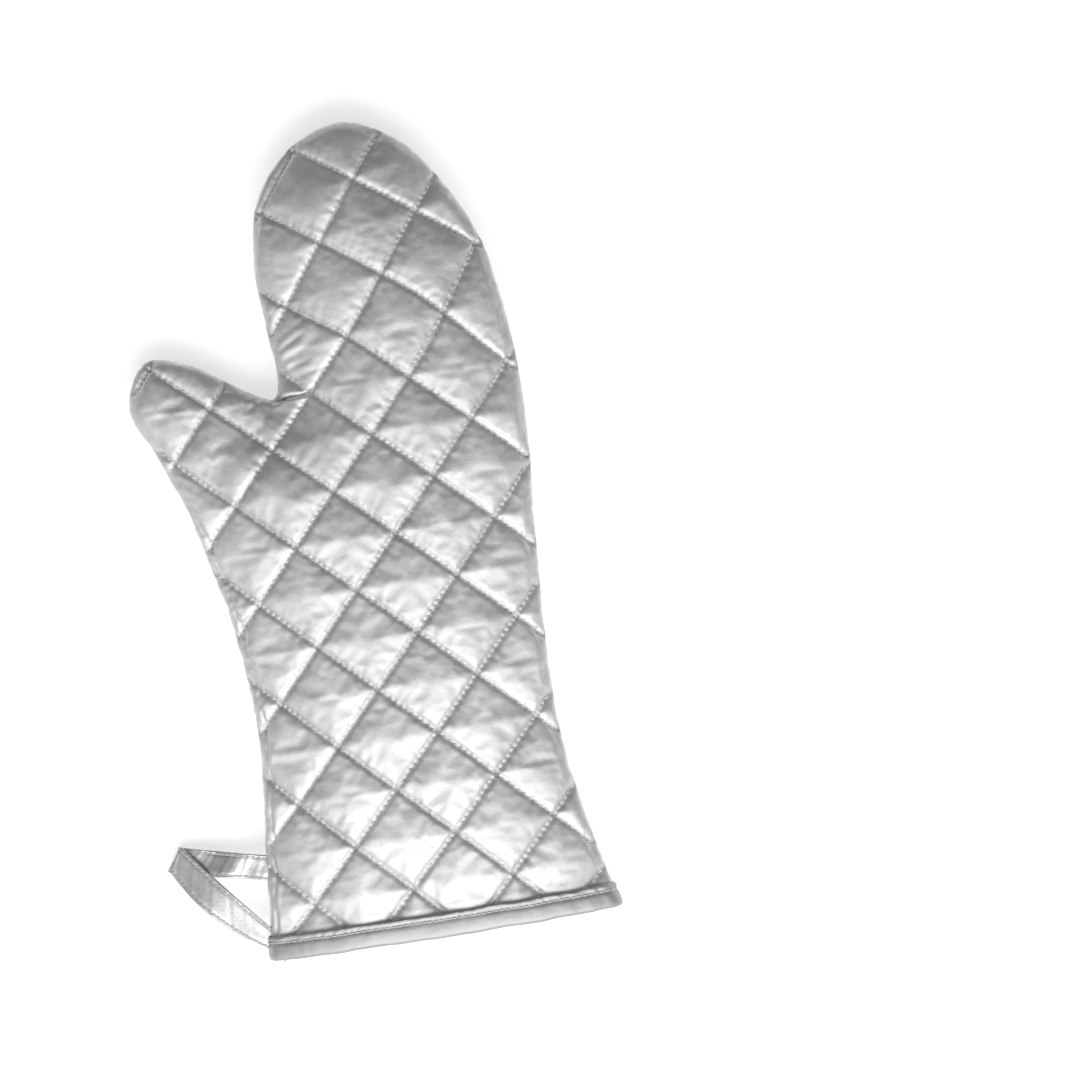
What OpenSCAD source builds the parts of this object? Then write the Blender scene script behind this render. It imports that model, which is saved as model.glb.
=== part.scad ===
// Padded oven mitt: two quilted panels (shell, batting and lining), sewn together around the
// edge, with a bound cuff and a hanging loop.
// The mitt lies flat with its palm up, fingertips towards +Y and thumb towards -X. The origin is
// under the middle of its outer box. Sizes are in millimetres.
// Each panel is cut across the finger bases and across the thumb root, so that the fingers and
// the thumb can fold towards the palm.

/* [Mitt] */
// Length from the cuff edge to the fingertips
mitt_length = 417; // [400:1:430]
// Width across the cuff
cuff_width = 181; // [174:1:188]
// Thickness of the relaxed mitt, from palm to back
loft = 34; // [31:1:37]
// Width of the border over which a face rises from the side seam to its full height
edge_round = 60; // [58:1:62]
// How much the cuff binding squeezes each face
cuff_squeeze = 1.5; // [1.2:0.1:2.5]

/* [Fabric layers] */
// Thickness of the coated outer fabric
shell_thick = 0.8; // [0.6:0.1:1]
// Thickness of the batting between the fabrics
batting_thick = 4.4; // [3.5:0.1:4.8]
// Thickness of the lining
lining_thick = 0.8; // [0.6:0.1:1]

/* [Stitching] */
// Width of a line of stitches
stitch_width = 0.8; // [0.6:0.1:1]
// Depth to which a quilting thread sinks into the shell
stitch_sunk = 0.5; // [0.3:0.1:0.5]
// Height by which a quilting thread stands out of the palm
stitch_proud = 0.25; // [0.15:0.05:0.3]
// Half of a quilting diamond's diagonal
quilt_half = 25.7; // [24:0.1:28]

/* [Cuff binding] */
// Height of the binding along the mitt
binding_height = 12; // [11:1:14]
// Thickness of the binding fabric
binding_thick = 0.7; // [0.5:0.1:0.8]

/* [Hanging loop] */
// Width of the strap
strap_width = 13; // [12:0.5:14]
// Thickness of the folded strap
strap_thick = 1.6; // [1.2:0.1:1.6]
// Distance of the strap's fold from the side seam
loop_reach = 46; // [40:1:48]
// How far the strap's fold hangs below the side seam
loop_droop = 8; // [0:1:10]

/* [Folds] */
// Distance of the finger fold from the cuff, as a share of the mitt's length
fold_share = 0.755; // [0.75:0.005:0.76]
// Clearance between the two sides of a fold
fold_gap = 0.35; // [0.3:0.05:0.5]

/* [Hidden] */

silver = [0.80, 0.80, 0.82];
batting_white = [0.95, 0.95, 0.93];
lining_grey = [0.72, 0.72, 0.74];
thread_grey = [0.62, 0.62, 0.64];

palm = 1;
back = -1;
seam_height = loft / 2;
wall = shell_thick + batting_thick + lining_thick;
width_scale = cuff_width / 181;
length_scale = mitt_length / 417;
fold_y = fold_share * mitt_length;

// The outline of a mitt of standard size, from the thumb side of the cuff round to the other
// side. The curve through these points is smooth.
outline_shape = [
    [-90, 0], [-84, 60], [-79, 112], [-82, 162], [-89, 200],
    [-96, 228], [-108, 263], [-118, 290], [-106, 311.5], [-84, 306.5], [-62, 292], [-50, 285],
    [-44, 283], [-41.5, 291], [-42.5, 315], [-44, 350], [-36, 386], [-13, 410], [11, 417],
    [36, 406], [57, 381], [73, 347], [79, 315], [82, 265], [77, 190],
    [74, 140], [74, 95], [82, 40], [91, 0]];
// Places along the outline, counted in its points
root_u = 5;
crotch_u = 12;
fold_left_u = 14;
fold_right_u = 22;
last_u = len(outline_shape) - 1;
outline_points = [for (i = [0 : last_u])
    i == fold_left_u || i == fold_right_u
        ? [outline_shape[i].x * width_scale, fold_y]
        : [outline_shape[i].x * width_scale, outline_shape[i].y * length_scale]];
samples_per_span = 4;

// ---- Small helpers ----

function lerp(a, b, t) = a + (b - a) * t;
function unit(v) = v / norm(v);
function limited(v) = min(1, max(0, v));
function eased(v) = let (c = limited(v)) c * c * (3 - 2 * c);
function joined(lists) = [for (list = lists) for (item = list) item];
function backwards(list) = [for (i = [len(list) - 1 : -1 : 0]) list[i]];

// ---- The outline as a smooth curve ----

function chord(i) = outline_points[i + 1] - outline_points[i];

function slope_at(i) =
    i == 0 ? unit(chord(0)) :
    i == last_u ? unit(chord(last_u - 1)) :
    let (before = norm(chord(i - 1)), after = norm(chord(i)))
    (unit(chord(i)) * before + unit(chord(i - 1)) * after) / (before + after);

function edge_point(u) =
    let (i = min(floor(u), last_u - 1), t = u - i, reach = norm(chord(i)))
    outline_points[i] * (2 * pow(t, 3) - 3 * pow(t, 2) + 1)
        + slope_at(i) * reach * (pow(t, 3) - 2 * pow(t, 2) + t)
        + outline_points[i + 1] * (3 * pow(t, 2) - 2 * pow(t, 3))
        + slope_at(i + 1) * reach * (pow(t, 3) - pow(t, 2));

// Unit vector across the outline, pointing into the mitt
edge_look = 0.01;
function edge_normal(u) =
    let (ahead = edge_point(min(last_u, u + edge_look)), behind = edge_point(max(0, u - edge_look)))
    let (along = unit(ahead - behind))
    [along.y, -along.x];

function inset_point(u, inset) = edge_point(u) + inset * edge_normal(u);

edge_line = [for (k = [0 : samples_per_span * last_u]) edge_point(k / samples_per_span)];
edge_xs = [for (p = edge_line) p.x];

function segment_distance(p, a, b) =
    let (along = b - a, t = limited((p - a) * along / (along * along)))
    norm(p - a - along * t);

function edge_distance(p) =
    min([for (k = [1 : len(edge_line) - 1]) segment_distance(p, edge_line[k - 1], edge_line[k])]);

function edges_beside(p) =
    len([for (k = [1 : len(edge_line) - 1])
        let (a = edge_line[k - 1], b = edge_line[k])
        if ((a.y > p.y) != (b.y > p.y) && p.x < a.x + (p.y - a.y) / (b.y - a.y) * (b.x - a.x)) 1]);

// ---- The faces of the layers ----

// Half of the mitt's thickness in its flat middle, squeezed towards the cuff
cuff_rise = 33;
function half_loft(y) = seam_height - cuff_squeeze * (1 - eased((y - binding_height) / cuff_rise));

// Share of a face's full height at a share of the border's width: steep by the seam, then gentle
edge_steep = 0.1;
edge_share = 0.3;
function edge_profile(q) =
    edge_share * sqrt(1 - pow(1 - limited(q / edge_steep), 2)) + (1 - edge_share) * (1 - pow(1 - q, 2));

// Height above the seam of the face that lies inset below the outer face
function face_height(p, inset) =
    let (q = limited((edge_distance(p) - inset) / (edge_round - inset)))
    (half_loft(p.y) - inset) * edge_profile(q);

// The thumb root is a straight line from the outer edge to the crotch
thumb_root = outline_points[root_u];
crotch = outline_points[crotch_u];
fold_along = unit(crotch - thumb_root);
thumb_out = [-fold_along.y, fold_along.x];

// Distance from start, along direction, at which the outline is inset away, found by halving
farthest_inside = 20;
halvings = 14;
function distance_inside(start, direction, inset, low = 0, high = farthest_inside, rounds = halvings) =
    inset <= 0 ? 0 :
    rounds == 0 ? high :
    let (middle = (low + high) / 2)
    edge_distance(start + direction * middle) < inset
        ? distance_inside(start, direction, inset, middle, high, rounds - 1)
        : distance_inside(start, direction, inset, low, middle, rounds - 1);

function root_line_point(share, inset) =
    lerp(thumb_root + fold_along * distance_inside(thumb_root, fold_along, inset),
        crotch - fold_along * distance_inside(crotch, -fold_along, inset),
        share);

// An end of a row of points: on the outline, on the outline at a straight cut, or on the thumb root
ON_EDGE = 0;
ON_CUT = 1;
ON_ROOT = 2;

function row_end(place, inset) =
    place[0] == ON_EDGE ? inset_point(place[1], inset) :
    place[0] == ON_CUT ? edge_point(place[1]) + [sign(edge_normal(place[1]).x) * inset, 0] :
    root_line_point(place[1], inset);

function on_rim(place) = place[0] != ON_ROOT || place[1] == 0 || place[1] == 1;

// One row of points from one side to the other. A closing row lies on the seam all the way.
function row_points(row, inset, columns) =
    let (start = row_end(row[0], inset), end = row_end(row[1], inset), last = len(columns) - 1)
    [for (k = [0 : last])
        let (p = lerp(start, end, columns[k]))
        let (rim = row[2] || (k == 0 && on_rim(row[0])) || (k == last && on_rim(row[1])))
        [p.x, p.y, rim ? 0 : face_height(p, inset)]];

// Shares of a row's width: close together by the seam
wide_columns = [0, 0.01, 0.03, 0.06, 0.1, 0.17, 0.27, 0.38, 0.5, 0.62, 0.73, 0.83, 0.9, 0.94, 0.97, 0.99, 1];
finger_columns = [0, 0.015, 0.04, 0.08, 0.15, 0.25, 0.37, 0.5, 0.63, 0.75, 0.85, 0.92, 0.96, 0.985, 1];
thumb_columns = [0, 0.03, 0.09, 0.18, 0.33, 0.5, 0.67, 0.82, 0.91, 0.97, 1];

// Rows of the hand from the binding to the finger fold. The right ends fan out past the thumb root.
root_right_u = 23.65;
crotch_right_u = 23;
function cuff_left_u(y) = y / outline_points[1].y;
function cuff_right_u(y) = last_u - y / outline_points[last_u - 1].y;
binding_row = [[ON_CUT, cuff_left_u(binding_height)], [ON_CUT, cuff_right_u(binding_height)], false];
cuff_row = [[ON_CUT, 0], [ON_CUT, last_u], false];
lower_pairs = [[0.6, 27.1], [1, 26.65], [1.5, 26.15], [2, 25.6], [2.5, 25.1], [3, 24.6], [4, 23.95]];
upper_pairs = [[12.5, 22.8], [13, 22.6], [13.5, 22.3]];
hand_rows = concat(
    [for (pair = lower_pairs) [[ON_EDGE, pair[0]], [ON_EDGE, pair[1]], false]],
    [for (share = thumb_columns)
        [[ON_ROOT, share], [ON_EDGE, lerp(root_right_u, crotch_right_u, share)], false]],
    [for (pair = upper_pairs) [[ON_EDGE, pair[0]], [ON_EDGE, pair[1]], false]],
    [[[ON_CUT, fold_left_u], [ON_CUT, fold_right_u], false]]);

// Rows of the fingers, from the fold to the fingertips
finger_pairs = [[14.35, 21.65], [14.7, 21.3], [15, 21], [15.35, 20.65], [15.7, 20.3], [16, 20],
    [16.35, 19.65], [16.7, 19.3], [17, 19], [17.35, 18.65]];
finger_end = [17.6, 18.35];

// Rows of the thumb, from its root to its tip
thumb_pairs = [[5.5, 11], [6, 10.6], [6.5, 10.3], [7, 9.9], [7.35, 9.4], [7.6, 9], [7.75, 8.7]];
thumb_end = [7.85, 8.4];

function edge_rows(pairs, end) = concat(
    [for (pair = pairs) [[ON_EDGE, pair[0]], [ON_EDGE, pair[1]], false]],
    [[[ON_EDGE, end[0]], [ON_EDGE, end[1]], true]]);

function moved(points, by) = [for (p = points) [p.x + by.x, p.y + by.y, p.z]];

// A row at any height within the binding
function binding_points(y, inset) =
    let (low = row_points(cuff_row, inset, wide_columns))
    let (high = row_points(binding_row, inset, wide_columns))
    [for (k = [0 : len(wide_columns) - 1]) lerp(low[k], high[k], y / binding_height)];

cuff_clearance = 0.1;
binding_stitch_high = 0.35;
binding_stitch_y = binding_height - 2;
panel_start = binding_thick + cuff_clearance;

function hand_face(inset) = concat(
    [binding_points(panel_start, inset), binding_points(binding_height, inset)],
    [for (row = hand_rows) row_points(row, inset, wide_columns)]);

function finger_face(inset) = concat(
    [moved(row_points(hand_rows[len(hand_rows) - 1], inset, finger_columns), [0, fold_gap])],
    [for (row = edge_rows(finger_pairs, finger_end)) row_points(row, inset, finger_columns)]);

function thumb_face(inset) = concat(
    [moved(row_points([[ON_ROOT, 0], [ON_ROOT, 1], false], inset, thumb_columns), thumb_out * fold_gap)],
    [for (row = edge_rows(thumb_pairs, thumb_end)) row_points(row, inset, thumb_columns)]);

// ---- Turning faces into solids ----

function in_frame(p, side) = [p.x + shift.x, p.y + shift.y, seam_height + side * p.z];

function turned_faces(faces, side) = side == palm ? faces : [for (f = faces) [f[0], f[2], f[1]]];

// One fabric layer between two faces that have the same rows and columns
module layer(outer, inner, side) {
    rows = len(outer);
    columns = len(outer[0]);
    count = rows * columns;
    points = [for (p = concat(joined(outer), joined(inner))) in_frame(p, side)];
    skins = [for (i = [0 : rows - 2]) for (j = [0 : columns - 2])
        let (a = i * columns + j, b = a + columns, c = b + 1, d = a + 1)
        each [[a, b, c], [a, c, d], [a + count, c + count, b + count], [a + count, d + count, c + count]]];
    ends = [for (j = [0 : columns - 2])
        let (a = j, d = j + 1, b = (rows - 1) * columns + j, c = b + 1)
        each [[a, d, d + count], [a, d + count, a + count], [c, b, b + count], [c, b + count, c + count]]];
    sides = [for (i = [0 : rows - 2])
        let (a = i * columns, b = a + columns, d = a + columns - 1, c = d + columns)
        each [[b, a, a + count], [b, a + count, b + count], [d, c, c + count], [d, c + count, d + count]]];
    polyhedron(points, turned_faces(concat(ends, sides, skins), side));
}

// Faces of tubes whose sections are closed loops of the same number of points. A ring has no ends.
function tube_sides(sections, corners, start, ring = false) =
    [for (i = [0 : ring ? sections - 1 : sections - 2]) for (j = [0 : corners - 1])
        let (next = (j + 1) % corners, up = (i + 1) % sections)
        let (a = start + i * corners + j, b = start + up * corners + j)
        let (c = start + up * corners + next, d = start + i * corners + next)
        each [[a, b, c], [a, c, d]]];

function tube_ends(sections, corners, start) =
    let (far = start + (sections - 1) * corners)
    [for (j = [1 : corners - 2]) each [[start, start + j, start + j + 1], [far, far + j + 1, far + j]]];

function starts_of(tubes, i = 0, total = 0) =
    i == len(tubes) ? [] : concat([total], starts_of(tubes, i + 1, total + len(tubes[i]) * len(tubes[i][0])));

// Separate tubes in one solid group. Each tube is a list of sections, clockwise seen from its start.
module tubes(list) {
    starts = starts_of(list);
    points = [for (tube = list) for (section = tube) for (p = section) in_frame(p, palm)];
    faces = [for (i = [0 : len(list) - 1])
        let (sections = len(list[i]), corners = len(list[i][0]))
        each concat(tube_sides(sections, corners, starts[i]), tube_ends(sections, corners, starts[i]))];
    polyhedron(points, faces);
}

// A closed ring around the cuff. Each corner of its section is [inset, height along the mitt].
module cuff_ring(corners) {
    columns = len(wide_columns);
    lines = [for (corner = corners) binding_points(corner[1], corner[0])];
    ring = concat(
        [for (k = [0 : columns - 1]) [for (line = lines) line[k]]],
        [for (k = [columns - 2 : -1 : 1]) [for (line = lines) [line[k].x, line[k].y, -line[k].z]]]);
    points = [for (section = ring) for (p = section) in_frame(p, palm)];
    polyhedron(points, tube_sides(len(ring), len(corners), 0, true));
}

// ---- Quilting ----

// The quilting drifts towards the thumb along the mitt, and tilts over the fingers but not the thumb
quilt_start = [-12, 26];
quilt_drift = 0.0002;
finger_tilt = 0.17;
tilt_from = 285;
tilt_over = 45;
tilt_middle = 8;
tilt_edge = -60;
tilt_edge_over = 15;

function quilt_point(across, along) =
    let (x = quilt_start.x + across * quilt_half - quilt_drift * pow(along * quilt_half, 2))
    let (y = quilt_start.y + along * quilt_half)
    let (tilt = finger_tilt * eased((y - tilt_from) / tilt_over) * eased((x - tilt_edge) / tilt_edge_over))
    [x * width_scale, (y + tilt * (x - tilt_middle)) * length_scale];

quilt_margin = 6;
fold_margin = 2;

function beyond_root(p) = (p - thumb_root) * thumb_out;
function in_thumb(p) = beyond_root(p) > fold_margin && p.x < crotch.x;
function in_fingers(p) = p.y > fold_y + fold_margin;
function in_hand(p) =
    p.y < fold_y - fold_margin && p.y > binding_height + 1
        && (beyond_root(p) < -fold_margin || p.x > crotch.x);

function in_part(p, part) =
    edges_beside(p) % 2 == 1 && edge_distance(p) > quilt_margin
        && (part == "hand" ? in_hand(p) : part == "fingers" ? in_fingers(p) : in_thumb(p));

// Shares of a diamond's side at which a thread is in the part, with a closer look at its ends
look_steps = 24;
path_steps = 3;
crossing_gap = 0.02;
look_ahead = 0.05;

function stitch_shares(across, along, rise, part) =
    let (inside = [for (k = [0 : look_steps])
        let (f = lerp(crossing_gap, 1 - crossing_gap, k / look_steps))
        if (in_part(quilt_point(across + f, along + rise * f), part)) f])
    len(inside) < 3 ? [] :
    let (first = inside[0], last = inside[len(inside) - 1])
    [for (k = [0 : path_steps]) lerp(first, last, k / path_steps)];

// A line of stitches as a strip with a rectangular section, sunk into the shell
function stitch_line(across, along, rise, part, side) =
    let (shares = stitch_shares(across, along, rise, part))
    [for (f = shares)
        let (p = quilt_point(across + f, along + rise * f))
        let (ahead = quilt_point(across + f + look_ahead, along + rise * (f + look_ahead)))
        let (along_line = unit(ahead - p), wide = [along_line.y, -along_line.x] * stitch_width / 2)
        let (face = face_height(p, 0), top = face + (side == palm ? stitch_proud : 0), low = face - stitch_sunk)
        let (high_z = side == palm ? top : -low, low_z = side == palm ? low : -top)
        [[p.x - wide.x, p.y - wide.y, low_z], [p.x - wide.x, p.y - wide.y, high_z],
            [p.x + wide.x, p.y + wide.y, high_z], [p.x + wide.x, p.y + wide.y, low_z]]];

across_reach = 6;
along_last = 16;
function quilting(part, side) =
    [for (along = [-1 : along_last]) for (across = [-across_reach : across_reach]) for (rise = [-1, 1])
        let (line = (across + along) % 2 == 0 ? stitch_line(across, along, rise, part, side) : [])
        if (len(line) > 0) line];

// ---- Side seam ----

seam_bite = 0.1;
seam_thick = 1.2;

// The thread of the side seam, along the inner edge of the lining, between places on the outline
function seam_line(places) =
    [for (u = places)
        let (outer = inset_point(u, wall - seam_bite), inner = inset_point(u, wall + seam_thick))
        [[outer.x, outer.y, -seam_thick / 2], [outer.x, outer.y, seam_thick / 2],
            [inner.x, inner.y, seam_thick / 2], [inner.x, inner.y, -seam_thick / 2]]];

function left_places(pairs) = [for (pair = pairs) pair[0]];
function right_places(pairs) = backwards([for (pair = pairs) pair[1]]);

// ---- Hanging loop ----

// The strap leaves the side seam, folds back over itself and returns to the seam at the cuff
strap_clear = 2.2;
outward_start = 41;
return_start = 6.5;
fold_turn = 1.4;
fold_steps = 6;
run_steps = 6;
fold_low_y = 51;
fold_lean = 8;
fold_rise = 12;

function seam_x(y) = edge_point(cuff_left_u(y)).x - strap_clear;

fold_low = [seam_x(fold_low_y) + strap_clear - loop_reach - fold_lean / 2, fold_low_y];
fold_high = fold_low + [fold_lean, fold_rise];
fold_line = unit(fold_high - fold_low);
fold_out = [-fold_line.y, fold_line.x];

// Sections of the strap. Each is [low edge, high edge, outward direction], as points in space.
function out_section(f) =
    let (low = lerp([seam_x(outward_start), outward_start], fold_low, f))
    let (high = lerp([seam_x(outward_start + strap_width), outward_start + strap_width], fold_high, f))
    let (z = -loop_droop * f * f - fold_turn * limited(2 * f))
    [[low.x, low.y, z], [high.x, high.y, z], [0, 0, -1]];

function fold_section(angle) =
    let (away = [fold_out.x * cos(angle), fold_out.y * cos(angle), sin(angle)])
    [[fold_low.x, fold_low.y, -loop_droop] + fold_turn * away,
        [fold_high.x, fold_high.y, -loop_droop] + fold_turn * away,
        away];

function back_section(f) =
    let (low = lerp([seam_x(return_start), return_start], fold_low, f))
    let (high = lerp([seam_x(return_start + strap_width), return_start + strap_width], fold_high, f))
    let (z = -loop_droop * f * f + fold_turn * limited(2 * f))
    [[low.x, low.y, z], [high.x, high.y, z], [0, 0, 1]];

strap_sections = concat(
    [for (k = [0 : run_steps - 1]) out_section(k / run_steps)],
    [for (k = [0 : fold_steps]) fold_section(lerp(-90, 90, k / fold_steps))],
    [for (k = [run_steps - 1 : -1 : 0]) back_section(k / run_steps)]);

// A band along the strap, between two shares of its width and two heights over its middle
function strap_band(share_a, share_b, low, high) =
    [for (s = strap_sections)
        let (a = lerp(s[0], s[1], share_a), b = lerp(s[0], s[1], share_b))
        [a + s[2] * high, a + s[2] * low, b + s[2] * low, b + s[2] * high]];

strap_stitch_inset = 0.12;
strap_stitch_share = 0.05;
strap_stitch_high = 0.3;

// ---- Frame ----

// Half of the outer box is on each side of the origin
box_left = min([for (s = strap_sections) s[0].x + s[2].x * strap_thick / 2]);
box_right = edge_xs[len(edge_xs) - 1] + binding_thick + cuff_clearance / 2 + binding_stitch_high;
box_back = max([for (u = finger_end) edge_point(u).y]);
shift = [-(box_left + box_right) / 2, -box_back / 2];

// ---- Pieces ----

inset_shell = shell_thick;
inset_batting = shell_thick + batting_thick;

module outer_palm_hand() color(silver) layer(hand_face(0), hand_face(inset_shell), palm);
module outer_palm_fingers() color(silver) layer(finger_face(0), finger_face(inset_shell), palm);
module outer_palm_thumb() color(silver) layer(thumb_face(0), thumb_face(inset_shell), palm);
module outer_back_hand() color(silver) layer(hand_face(0), hand_face(inset_shell), back);
module outer_back_fingers() color(silver) layer(finger_face(0), finger_face(inset_shell), back);
module outer_back_thumb() color(silver) layer(thumb_face(0), thumb_face(inset_shell), back);

module batting(outer, inner, side) color(batting_white) layer(outer, inner, side);
module batting_palm_hand() batting(hand_face(inset_shell), hand_face(inset_batting), palm);
module batting_palm_fingers() batting(finger_face(inset_shell), finger_face(inset_batting), palm);
module batting_palm_thumb() batting(thumb_face(inset_shell), thumb_face(inset_batting), palm);
module batting_back_hand() batting(hand_face(inset_shell), hand_face(inset_batting), back);
module batting_back_fingers() batting(finger_face(inset_shell), finger_face(inset_batting), back);
module batting_back_thumb() batting(thumb_face(inset_shell), thumb_face(inset_batting), back);

module lining(outer, inner, side) color(lining_grey) layer(outer, inner, side);
module lining_palm_hand() lining(hand_face(inset_batting), hand_face(wall), palm);
module lining_palm_fingers() lining(finger_face(inset_batting), finger_face(wall), palm);
module lining_palm_thumb() lining(thumb_face(inset_batting), thumb_face(wall), palm);
module lining_back_hand() lining(hand_face(inset_batting), hand_face(wall), back);
module lining_back_fingers() lining(finger_face(inset_batting), finger_face(wall), back);
module lining_back_thumb() lining(thumb_face(inset_batting), thumb_face(wall), back);

module quilting_threads(part, side) color(thread_grey) tubes(quilting(part, side));
module quilting_palm_hand() quilting_threads("hand", palm);
module quilting_palm_fingers() quilting_threads("fingers", palm);
module quilting_palm_thumb() quilting_threads("thumb", palm);
module quilting_back_hand() quilting_threads("hand", back);
module quilting_back_fingers() quilting_threads("fingers", back);
module quilting_back_thumb() quilting_threads("thumb", back);

// The seam stops short of the binding, the thumb root and the finger fold
seam_start_y = binding_height + 4;
seam_root_u = root_u - 0.4;
seam_fold_gap = 0.1;
module side_seam_hand() color(thread_grey) tubes([
    seam_line(concat([cuff_left_u(seam_start_y)], left_places(lower_pairs), [seam_root_u])),
    seam_line(concat(left_places(upper_pairs), [fold_left_u - seam_fold_gap])),
    seam_line(concat([fold_right_u + seam_fold_gap], right_places(upper_pairs),
        [crotch_right_u, root_right_u], right_places(lower_pairs), [cuff_right_u(seam_start_y)]))]);
module side_seam_fingers() color(thread_grey) tubes([
    seam_line(concat([fold_left_u + seam_fold_gap], left_places(finger_pairs), finger_end,
        right_places(finger_pairs), [fold_right_u - seam_fold_gap]))]);
module side_seam_thumb() color(thread_grey) tubes([
    seam_line(concat(left_places(thumb_pairs), thumb_end, right_places(thumb_pairs)))]);

// The binding is folded over the cuff's raw edge, so its section is a U
module cuff_binding() color(silver) cuff_ring([
    [-cuff_clearance / 2 - binding_thick, 0],
    [wall + cuff_clearance / 2 + binding_thick, 0],
    [wall + cuff_clearance / 2 + binding_thick, binding_height],
    [wall + cuff_clearance / 2, binding_height],
    [wall + cuff_clearance / 2, binding_thick],
    [-cuff_clearance / 2, binding_thick],
    [-cuff_clearance / 2, binding_height],
    [-cuff_clearance / 2 - binding_thick, binding_height]]);

module binding_stitching() color(thread_grey) cuff_ring([
    [-cuff_clearance / 2 - binding_thick - binding_stitch_high, binding_stitch_y - stitch_width / 2],
    [-cuff_clearance / 2 - binding_thick, binding_stitch_y - stitch_width / 2],
    [-cuff_clearance / 2 - binding_thick, binding_stitch_y + stitch_width / 2],
    [-cuff_clearance / 2 - binding_thick - binding_stitch_high, binding_stitch_y + stitch_width / 2]]);

module hanging_loop() color(silver) tubes([strap_band(0, 1, -strap_thick / 2, strap_thick / 2)]);

module loop_stitching() color(thread_grey) tubes([for (share = [strap_stitch_inset, 1 - strap_stitch_inset])
    strap_band(share - strap_stitch_share / 2, share + strap_stitch_share / 2,
        strap_thick / 2, strap_thick / 2 + strap_stitch_high)]);

// The ends of the strap, sewn in between the palm and the back
end_reach = 8;
end_out = 0.3;
module loop_ends() color(silver)
    for (start = [outward_start, return_start])
        translate([seam_x(start + strap_width / 2) + strap_clear - end_out + shift.x, start + shift.y,
            seam_height - strap_thick / 2])
            cube([end_reach + end_out, strap_width, strap_thick]);

outer_palm_hand();
outer_palm_fingers();
outer_palm_thumb();
outer_back_hand();
outer_back_fingers();
outer_back_thumb();
batting_palm_hand();
batting_palm_fingers();
batting_palm_thumb();
batting_back_hand();
batting_back_fingers();
batting_back_thumb();
lining_palm_hand();
lining_palm_fingers();
lining_palm_thumb();
lining_back_hand();
lining_back_fingers();
lining_back_thumb();
quilting_palm_hand();
quilting_palm_fingers();
quilting_palm_thumb();
quilting_back_hand();
quilting_back_fingers();
quilting_back_thumb();
side_seam_hand();
side_seam_fingers();
side_seam_thumb();
cuff_binding();
binding_stitching();
hanging_loop();
loop_stitching();
loop_ends();
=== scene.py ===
"""A silver quilted oven mitt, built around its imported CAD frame.

The mitt lies with its palm up. Shapes are worked out in millimetres in the mitt's own plane, with
the origin in the middle of the cuff's edge and z = 0 at the side seam, and moved into the row
frame at the end.
"""

import math

import bpy
import numpy as np
from mathutils import Matrix, Vector
from mathutils.bvhtree import BVHTree
from mathutils.geometry import delaunay_2d_cdt
from mathutils.kdtree import KDTree


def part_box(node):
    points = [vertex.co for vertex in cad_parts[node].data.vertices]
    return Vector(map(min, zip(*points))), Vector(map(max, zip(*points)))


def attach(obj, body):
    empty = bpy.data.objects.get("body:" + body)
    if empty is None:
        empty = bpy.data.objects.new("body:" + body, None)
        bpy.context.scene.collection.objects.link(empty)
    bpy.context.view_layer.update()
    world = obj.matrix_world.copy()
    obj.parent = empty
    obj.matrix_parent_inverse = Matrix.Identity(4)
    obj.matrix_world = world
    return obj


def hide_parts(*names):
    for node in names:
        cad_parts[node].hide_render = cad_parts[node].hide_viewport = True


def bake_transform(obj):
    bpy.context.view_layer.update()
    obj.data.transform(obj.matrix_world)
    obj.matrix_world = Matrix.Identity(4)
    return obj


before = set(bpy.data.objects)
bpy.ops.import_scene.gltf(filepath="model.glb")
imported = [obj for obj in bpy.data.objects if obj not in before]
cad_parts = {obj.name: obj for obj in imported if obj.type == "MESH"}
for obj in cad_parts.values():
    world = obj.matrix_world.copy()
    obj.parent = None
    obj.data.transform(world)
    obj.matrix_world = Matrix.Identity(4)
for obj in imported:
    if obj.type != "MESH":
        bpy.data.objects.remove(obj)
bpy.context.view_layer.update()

# ---- Named values, in millimetres ----

MM = 0.001

# The mitt's outline, as in the CAD source, from the thumb side of the cuff round to the other side
OUTLINE = [
    (-90, 0), (-84, 60), (-79, 112), (-82, 162), (-89, 200),
    (-96, 228), (-108, 263), (-118, 290), (-106, 311.5), (-84, 306.5), (-62, 292), (-50, 285),
    (-44, 283), (-41.5, 291), (-42.5, 315), (-44, 350), (-36, 386), (-13, 410), (11, 417),
    (36, 406), (57, 381), (73, 347), (79, 315), (82, 265), (77, 190),
    (74, 140), (74, 95), (82, 40), (91, 0)]
ROOT_PLACE, CROTCH_PLACE = 5, 12
CROTCH = np.array(OUTLINE[CROTCH_PLACE], float)
THUMB_ROOT = np.array(OUTLINE[ROOT_PLACE], float)
FOLD_ALONG = (CROTCH - THUMB_ROOT) / np.linalg.norm(CROTCH - THUMB_ROOT)
THUMB_OUT = np.array((-FOLD_ALONG[1], FOLD_ALONG[0]))
CUFF_X = OUTLINE[-1][0]
BINDING_OUT = 0.75
SEAM_HIGH = 1000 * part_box("outer_palm_hand")[0].z
HALF_LOFT = 1000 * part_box("outer_palm_hand")[1].z - SEAM_HIGH
EDGE_ROUND = 60
EDGE_STEEP = 0.1
EDGE_SHARE = 0.3
BINDING_HEIGHT = 1000 * (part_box("cuff_binding")[1].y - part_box("cuff_binding")[0].y)
CUFF_SQUEEZE = 1.5
CUFF_RISE = 33
SHIFT = np.array((
    1000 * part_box("cuff_binding")[1].x - CUFF_X - BINDING_OUT,
    1000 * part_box("cuff_binding")[0].y,
    SEAM_HIGH))

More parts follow.
